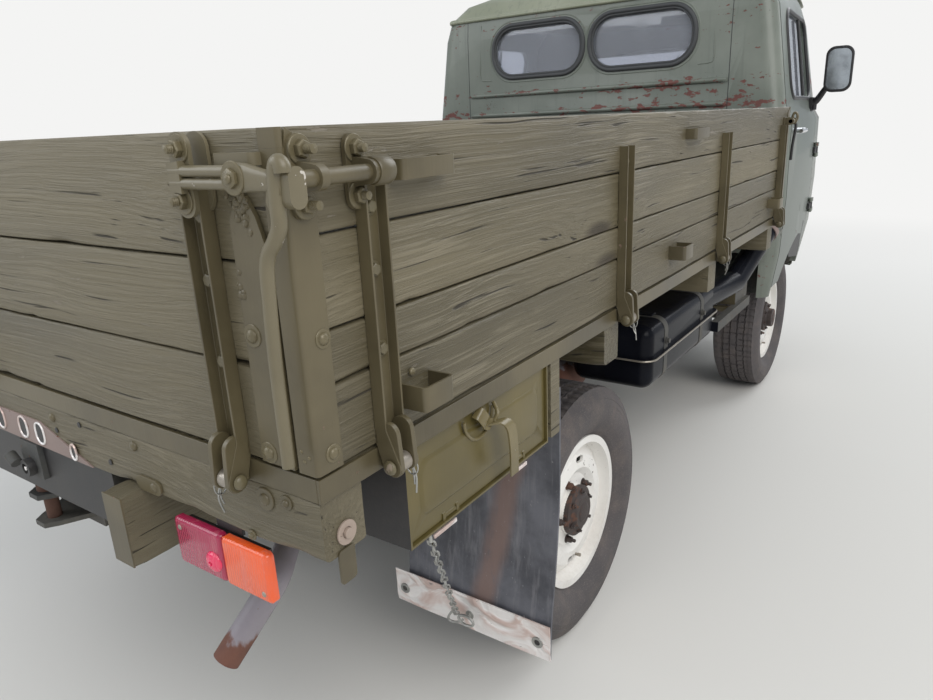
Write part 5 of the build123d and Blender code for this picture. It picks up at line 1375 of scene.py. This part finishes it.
def hubParts(size, x, side, reach):
    centre = np.array((x, side * size["y"], size["z"]))
    out = np.array((0.0, side, 0.0))
    profile = [(0, 0.060), (0.0715, 0.060), (0.0735, 0.0750), (0.0725, 0.0785), (0.0650, 0.0805),
        (0.0560, 0.0815), (0.0520, 0.0850), (0.0495, 0.0885), (0.0480, 0.0900), (0.0475, reach + 0.0060),
        (0.0450, reach + 0.0088), (0.0300, reach + 0.0090), (0.0290, reach + 0.0100),
        (0.0200, reach + 0.0120), (0, reach + 0.0125)]
    rusty = [turnedPart(profile, centre, out, 56)]
    spot = lambda radius, degrees: centre + radius * np.array((math.cos(math.radians(degrees)), 0,
        math.sin(math.radians(degrees))))
    for k in range(6):
        rusty += hexPart(spot(0.0585, 20 + 60 * k) + out * 0.0808, out, 0.0080, 0.0052, 0, 0.0080, 0.3 + k)
    for k in range(5):
        rusty += hexPart(spot(0.0880, 106 + 72 * k) + out * 0.0540, out, 0.0100, 0.0150, 0.0130, 0.0165,
            0.7 * k)
    valve = [rodPart(spot(0.148, -90) + out * 0.050, spot(0.146, -90) + out * 0.076, 0.0042, 14),
        rodPart(spot(0.146, -90) + out * 0.074, spot(0.1455, -90) + out * 0.084, 0.0052, 12)]
    return rusty, valve


for name, x, side, reach in wheels["corners"]:
    body, label = "wheel_" + name, camelName(name)
    addPiece("tyre" + label, tyreParts(wheels, x, side), "tyre", body, 0.0, 40, ("tyre_" + name,))
    copiedNode("rim" + label, "rim_" + name, "wheelWhite", body, 0.0028, 20)
    rusty, small = hubParts(wheels, x, side, reach)
    addPiece("hub" + label, rusty, "rustyHub", body, 0.0)
    addPiece("valve" + label, small, "wornSteel", body, 0.0)
print("wheels ready")

# ---- frame, drive line, tanks, exhaust

# columns: finish, body, nodes
plainNodes = (("chassis", "chassis", "frame tow_fork"), ("rustyPin", "chassis", "tow_pin"),
    ("chassis", "chassis", "rear_axle front_axle leaf_springs prop_shafts"),
    ("cast", "chassis", "engine_block"), ("pipe", "chassis", "exhaust"), ("tank", "chassis", "fuel_tanks"),
    ("chassis", "steer_left", "knuckle_left"), ("chassis", "steer_right", "knuckle_right"),
    ("bumper", "chassis", "bumper grille"), ("inside", "chassis", "dashboard seat_frames cab_floor"),
    ("chassis", "chassis", "cab_arches"))
made = {node: copiedNode("body" + camelName(node), node, coat, body, 0.0016)
    for coat, body, nodes in plainNodes for node in nodes.split()}
recolour(made["fuel_tanks"], "chassis", lambda x, y,
    z: (x > 0.06) & (z < 0.722) & (abs(y) > 0.715) & (x < 0.512) & ((x > 0.30) | (z < 0.648))
    & (abs(y) < 0.868) & ((z > 0.64) | (z < 0.647)))
recolour(made["fuel_tanks"], "olive", lambda x, y,
    z: (abs(x - 0.305) < 0.017) & (abs(y) < 0.840) & (z > 0.60))
recolour(made["fuel_tanks"], "primed", lambda x, y,
    z: np.linalg.norm(np.stack([x - 0.553, abs(y) - 0.903, z - 0.9285], 1), axis=1) < 0.056)
# the frame's rear part goes black: painted shade where it sits in shadow under the rear beam
recolour(made["frame"], "black", lambda x, y, z: (x < -2.105) & (abs(y) < 0.447))
member = {"x": -2.1765, "low": 0.8855, "high": 0.9380, "near": 0.235, "far": 0.400,
    "ovals": (0.0745, 0.1650, 0.2290, 0.3440)}


def memberParts(size):   # strip narrowing to its ends, ovals in black as painted shade in its holes, their rims pale as painted highlights on the edges, clevis and towing eye below
    x, low, high = size["x"], size["low"], size["high"]
    sheet = [prism([(-size["far"], low), (size["far"], low), (size["near"], high), (-size["near"], high)], 0,
        x - 0.0015, x + 0.002)]
    rims, dark = [], []
    for y in [side * y for side in (-1, 1) for y in size["ovals"]]:
        slim = 0.6 if abs(y) > 0.3 else 1.0
        middle, tall = (0.9030, 0.030) if abs(y) > 0.3 else (0.9140, 0.042)
        outline = [(y + py * slim, middle + pz) for py, pz in roundedBox(0.030, tall, 0.0148, 7)]
        dark.append(prism(outline, 0, x - 0.0022, x - 0.001))
        rims.append(tubePart([(x - 0.0022, py, pz) for py, pz in outline], 0.0021, 8, True))
    dark.append(turnedPart([(0.0105, -0.008), (0.0175, -0.008), (0.0185, 0.0), (0.0175, 0.008),
        (0.0105, 0.008)], (-2.188, -0.170, 0.834), (-1, 0, 0), 28))
    rims += hexPart((-2.181, -0.170, 0.834), (-1, 0, 0), 0.0085, 0.0090, 0.0, 0.008)
    holder = [slab(-2.181, -2.150, -0.205, -0.135, 0.812, 0.884),
        rodPart((-2.196, -0.118, 0.852), (-2.196, -0.140, 0.838), 0.011)]
    return sheet, rims, dark, holder


sheetParts, rimParts, darkParts, holderParts = memberParts(member)
addPiece("memberSheet", sheetParts, "primed", "chassis", 0.0006)
# the rims take the pale strip finish: painted highlights on the hole edges
addPiece("memberRims", rimParts, "strip", "chassis")
# black ovals: painted shade seen in the member's holes; the ring among them is the towing eye
addPiece("memberOvals", darkParts, "black", "chassis")
addPiece("memberHolder", holderParts, "chassis", "chassis", 0.0015)
tank = {"x": (-0.703, 0.032), "y": (0.5765, 0.8605), "z": (0.588, 0.802), "seam": 0.695,
    "bands": (-0.545, -0.160)}


def tankTrim(size):
    (x0, x1), (y0, y1), (z0, z1) = size["x"], size["y"], size["z"]
    seam = [((x0 + x1) / 2 + px, (y0 + y1) / 2 + py, size["seam"])
        for px, py in roundedBox(x1 - x0, y1 - y0, 0.046, 8)]
    parts = [tubePart(seam, 0.0032, 8, True)]
    bands = []
    for x in size["bands"]:
        ring = boxAt(0.711, (z0 + z1) / 2, 0.277, z1 - z0, 0.041, 7)
        bands.append(prism(ring, 0, x - 0.016, x + 0.016))
        bands += hexPart((x, 0.852, size["seam"] + 0.03), (0, 1, 0), 0.009, 0.008, 0.012)
    return parts, bands


seamParts, bandParts = tankTrim(tank)
addPiece("tankSeams", seamParts + mirroredParts(seamParts), "wornSteel", "chassis")
addPiece("tankBands", bandParts + mirroredParts(bandParts), "chassis", "chassis", 0.001)
print("underside ready")

# ---- cab: its outer surface as functions, so trim can lie on it

cab = {"rear": 0.640, "nose": 2.187, "bulge": 0.085, "taper": 0.110,
    # columns: height, half width, rear offset, front offset
    "rows": ((0.600, 0.905, 0.000, -0.085), (0.800, 0.932, 0.000, -0.012), (1.050, 0.940, 0.000, 0.000),
    (1.370, 0.934, 0.000, -0.014), (1.425, 0.908, 0.000, -0.058), (1.840, 0.846, 0.004, -0.165),
    (1.935, 0.816, 0.014, -0.205), (2.005, 0.740, 0.060, -0.300)), "door": (0.702, 1.562),
    "doorWindow": (1.152, 1.652, 0.640, 0.350, 0.070), "rearWindow": (0.2695, 1.7595, 0.484, 0.228, 0.104),
    "screen": (1.622, 1.280, 0.345, 0.090)}
rowTable = np.array(cab["rows"])


def cabRow(z, column):
    return np.interp(z, rowTable[:, 0], rowTable[:, column])


def cabRear(z):
    return cab["rear"] + cabRow(z, 2)


def cabSide(x, z):   # half width at a place along the cab: w - taper*t^2
    rear, end = cabRear(z), cab["nose"] + cabRow(z, 3) - cab["bulge"]
    return cabRow(z, 1) - cab["taper"] * np.clip((x - rear) / (end - rear), 0, 1) ** 2


def cabNose(y, z):   # front surface: bowed by bulge*(y/w)^2
    return cab["nose"] + cabRow(z, 3) - cab["bulge"] * (y / (cabRow(z, 1) - cab["taper"])) ** 2


def windowLoop(width, height, radius, grow, surface, steps=9):
    return [surface(u, v) for u, v in roundedBox(width + 2 * grow, height + 2 * grow, radius + grow, steps)]


# the roof and its gutter take the paler roof paint, which is partly painted light from above
cabNodes = (("cab_roof", "roof", "chassis", 0.0022), ("cab_rear_wall", "cab", "chassis", 0.0022),
    ("cab_nose", "cab", "chassis", 0.0), ("door_left", "door", "door_body_left", 0.0022),
    ("door_right", "door", "door_body_right", 0.0022))
for node, coat, body, edge in cabNodes:
    made[node] = copiedNode("body" + camelName(node), node, coat, body, edge, 40)
for node in ("door_left", "door_right"):
    recolour(made[node], "chrome", lambda x, y, z: (abs(y) > 0.9405) & (x < 0.875) & (abs(z - 1.330) < 0.014))
    recolour(made[node], "black", lambda x, y, z: (abs(x - 1.5575) < 0.0625) & (abs(y) > 0.899) & (z < 1.26))
for node, body in (("cab_glass", "chassis"), ("door_glass_left", "door_body_left"),
        ("door_glass_right", "door_body_right")):
    copiedNode("body" + camelName(node), node, "glass", body, 0.0)

rubbers, creases = [], []
y, z, width, height, radius = cab["rearWindow"]
for side in (-1, 1):
    for grow, thick, sink in ((0.011, 0.0105, 0.0010), (-0.002, 0.0060, 0.0025)):
        loop = windowLoop(width, height, radius, grow, lambda u,
            v: (cabRear(z + v) + sink, side * y + u, z + v))
        rubbers.append(tubePart(loop, thick, 12, True))
    crease = [(cabRear(1.90) + 0.0012, side * 0.596, 1.900), (cabRear(1.7) + 0.0012, side * 0.606, 1.700),
        (cabRear(1.65) + 0.0012, side * 0.606, 1.652), (cabRear(1.63) + 0.0012, side * 0.594, 1.633),
        (cabRear(1.63) + 0.0012, side * 0.540, 1.629)]
    creases.append(tubePart(smoothPath(crease, 6), 0.0036, 8))
    dish = windowLoop(width, height, radius, 0.030, lambda u,
        v: (cabRear(z + v) + 0.0022, side * y + u, z + v))
    creases.append(tubePart(dish, 0.0044, 8, True))
heights = np.array((0.95, 1.20, 1.425, 1.63, 1.84, 1.93))
seamLines = [strapPart([(cabRear(v) - 0.0002, side, v) for v in heights], (0, 1, 0), 0.0026, 0.0010)
    for side in (-0.675, 0.680)]
z, width, height, radius = cab["screen"]
rubbers.append(tubePart(windowLoop(width, height, radius, 0.010, lambda u,
    v: (cabNose(u, z + v) - 0.002, u, z + v), 12), 0.011, 12, True))
addPiece("windowRubbers", rubbers, "seal", "chassis")
for z in (1.557, 1.458):
    y = np.array((0.676, 0.668, 0.645, 0.0, -0.640, -0.662, -0.670))
    rib = np.stack([cabRear(z) + np.array((0.004, 0.001, 0, 0, 0, 0.001, 0.004)), y, np.full(7, z)], -1)
    creases.append(tubePart(rib, np.array((0.004, 0.009, 0.0118, 0.0118, 0.0118, 0.009, 0.004)), 14))
addPiece("cabCreases", creases, "cab", "chassis")
gutter = [(cabRear(1.930) + dx, y, 1.931)
    for dx, y in ((0.030, 0.806), (0.004, 0.786), (-0.004, 0.74), (-0.004, 0.3), (-0.004, -0.3),
    (-0.004, -0.74), (0.004, -0.786), (0.030, -0.806))]
addPiece("roofGutter", [tubePart(smoothPath(gutter, 5), 0.0095, 12)], "roof", "chassis")
addPiece("cabSeams", seamLines, "black", "chassis")
x, z, width, height, radius = cab["doorWindow"]
for label, side in sides:
    loop = windowLoop(width, height, radius, 0.008, lambda u,
        v: (x + u, side * (cabSide(x + u, z + v) - 0.001), z + v), 10)
    pillar = [(x + 0.060, side * (cabSide(x + 0.060, z + v) - 0.004), z + v)
        for v in np.linspace(-0.170, 0.170, 8)]
    frames = [tubePart(loop, 0.0095, 12, True), tubePart(pillar, 0.0075, 10)]
    addPiece("doorRubbers" + label, frames, "black", sided("door_body", side))

mirrors = {"head": (1.412, 0.996, 1.598), "foot": (1.472, 1.440)}


def mirrorParts(size):
    (hx, hy, hz), (fx, fz) = size["head"], size["foot"]
    rows = ((-0.016, 0.124, 0.212, 0.040), (-0.0175, 0.118, 0.206, 0.038), (-0.0175, 0.106, 0.190, 0.034),
        (-0.0120, 0.104, 0.188, 0.034))
    shell = [[(hx + dx, hy + py, hz + pz) for py, pz in roundedBox(w, h, r, 7)] for dx, w, h, r in rows[::-1]]
    shell += [[(hx + dx, hy + py, hz + pz) for py, pz in roundedBox(w, h, r, 7)]
        for dx, w, h, r in ((-0.006, 0.125, 0.213, 0.042), (0.010, 0.118, 0.204, 0.040),
        (0.020, 0.100, 0.180, 0.038), (0.024, 0.070, 0.140, 0.030))]
    arm = smoothPath([(fx, 0.868, fz), (fx - 0.006, 0.900, fz + 0.018), (fx - 0.022, 0.940, fz + 0.075),
        (hx + 0.018, 0.968, hz - 0.055), (hx + 0.010, 0.978, hz - 0.020)], 7)
    thick = np.interp(np.arange(len(arm)), (0, 8, 20, len(arm) - 1), (0.020, 0.016, 0.012, 0.011))
    foot = slab(fx - 0.030, fx + 0.030, 0.840, 0.884, fz - 0.034, fz + 0.034)
    knuckle = [rodPart((fx, 0.889, fz - 0.028), (fx, 0.889, fz + 0.030), 0.013, 20)]
    glass = [prism(boxAt(hy, hz, 0.103, 0.187, 0.033, 7), 0, hx - 0.0135, hx - 0.0118)]
    return [lofted(np.array(shell)), tubePart(arm, thick, 14), foot] + knuckle, glass


blackParts, glassParts = mirrorParts(mirrors)
for (name, parts, side), (_, silver, _) in zip(bothSides("mirrorArm", blackParts),
        bothSides("mirrorArm", glassParts)):
    body = sided("door_body", side)
    addPiece(name, parts, "black", body, 0.001, 34, (sided("mirror", side),))
    addPiece(name.replace("Arm", "Glass"), silver, "mirrorGlass", body)

copiedNode("bodyFrontLamps", "front_lamps", "chrome", "chassis", 0.001)
# columns: piece, finish, place on the left, profile, sides
frontGlasses = (("lampGlasses", "lampClear", (2.176, 0.600, 0.940),
    ((0, -0.004), (0.088, -0.004), (0.088, 0.001), (0.080, 0.004), (0.060, 0.0075), (0.035, 0.0098),
    (0.012, 0.0108)), 48),
    ("signalGlasses", "orange", (2.157, 0.655, 1.140),
    ((0, -0.004), (0.036, -0.004), (0.036, 0.002), (0.030, 0.009), (0.018, 0.013), (0.008, 0.0145)), 36))
for name, coat, (x, y, z), profile, count in frontGlasses:
    addPiece(name, [turnedPart(profile, (x, side * y, z), (1, 0, 0), count) for side in (-1, 1)], coat,
        "chassis")
copiedNode("bodySteeringWheel", "steering_wheel", "grip", "hand_wheel", 0.001)
wiper = {"feet": (0.34, -0.26), "low": 1.425, "high": 1.62, "across": 0.26,
    "blade": ((-0.06, 0.15), (0.06, -0.15))}
wipers = []
for y in wiper["feet"]:
    over, high = y - wiper["across"], wiper["high"]
    foot = np.array((cabNose(y, wiper["low"]) + 0.004, y, wiper["low"] + 0.003))
    wipers.append(rodPart(foot, (cabNose(over, high) + 0.010, over, high), 0.0045, 12))
    wipers.append(rodPart(foot - (0.02, 0, 0), foot + (0.012, 0, 0), 0.012, 18))
    ends = [(cabNose(over + u, high + v) + 0.004, over + u, high + v) for u, v in wiper["blade"]]
    wipers.append(rodPart(*ends, 0.006, 10))
addPiece("wipers", wipers, "black", "chassis")
stepFlap = [prism([(1.306, 0.684), (1.418, 0.852), (1.392, 0.868), (1.120, 0.800), (1.057, 0.760),
    (1.090, 0.716)], 1, 0.898, 0.904)]
for name, parts, side in bothSides("stepFlap", stepFlap):
    addPiece(name, parts, "black", sided("door_body", side), 0.001)
print("cab ready")

# ---- seats: each pad is swollen by a short cloth run

pads = {"cap": 0.014, "voxel": 0.008, "y": 0.560, "frames": 20, "pressure": 4.0, "fill": 0.8,
    # columns: name, x, z, half sizes, lean
    "rows": (("seatPad", 1.077, 1.052, (0.205, 0.218, 0.046), 0.0),
    ("backPad", 0.838, 1.370, (0.036, 0.212, 0.236), -0.149))}


def padded(name, middle, half, lean):
    rings = []
    for share in np.linspace(-1, 1, 9):
        edge = math.sqrt(max(0.0, 1 - abs(share) ** 6))
        w, h = 2 * (half[0] - 0.02 + 0.02 * edge), 2 * (half[1] - 0.02 + 0.02 * edge)
        rings.append([(px, py, share * half[2]) for px, py in roundedBox(w, h, 0.045, 6)])
    turn = np.array(Matrix.Rotation(lean, 3, "Y"))
    piece = addPiece(name, [placed(lofted(np.array(rings)), middle, turn)], "leather", "chassis", 0.0, 60,
        ("seat_cushions",))
    remesh = piece.modifiers.new("even", "REMESH")
    remesh.mode, remesh.voxel_size = "VOXEL", pads["voxel"]
    bakeModifiers(piece)
    even = np.empty(len(piece.data.vertices) * 3)
    piece.data.vertices.foreach_get("co", even)
    cloth = piece.modifiers.new("swell", "CLOTH")
    cloth.settings.use_pressure = True
    cloth.settings.uniform_pressure_force = pads["pressure"]
    cloth.settings.effector_weights.gravity = 0.0
    cloth.settings.quality = 5
    scene = bpy.context.scene
    for step in range(1, pads["frames"] + 1):
        scene.frame_set(step)
    bakeModifiers(piece)
    scene.frame_set(1)
    swollen = np.empty_like(even)
    piece.data.vertices.foreach_get("co", swollen)
    move = (swollen - even).reshape(-1, 3)
    far = np.linalg.norm(move, axis=1)[:, None]
    move *= np.minimum(1.0, pads["cap"] / np.maximum(far, 1e-6))
    piece.data.vertices.foreach_set("co", (even.reshape(-1, 3) + move).reshape(-1))
    piece.data.update()
    piece.data.shade_smooth()
    return piece


def bakeModifiers(piece):
    graph = bpy.context.evaluated_depsgraph_get()
    mesh = bpy.data.meshes.new_from_object(piece.evaluated_get(graph))
    piece.modifiers.clear()
    piece.data = mesh


for label, side in sides:
    for name, x, z, half, lean in pads["rows"]:
        padded(name + label, (x, side * pads["y"], z), half, lean)
print("seats ready")
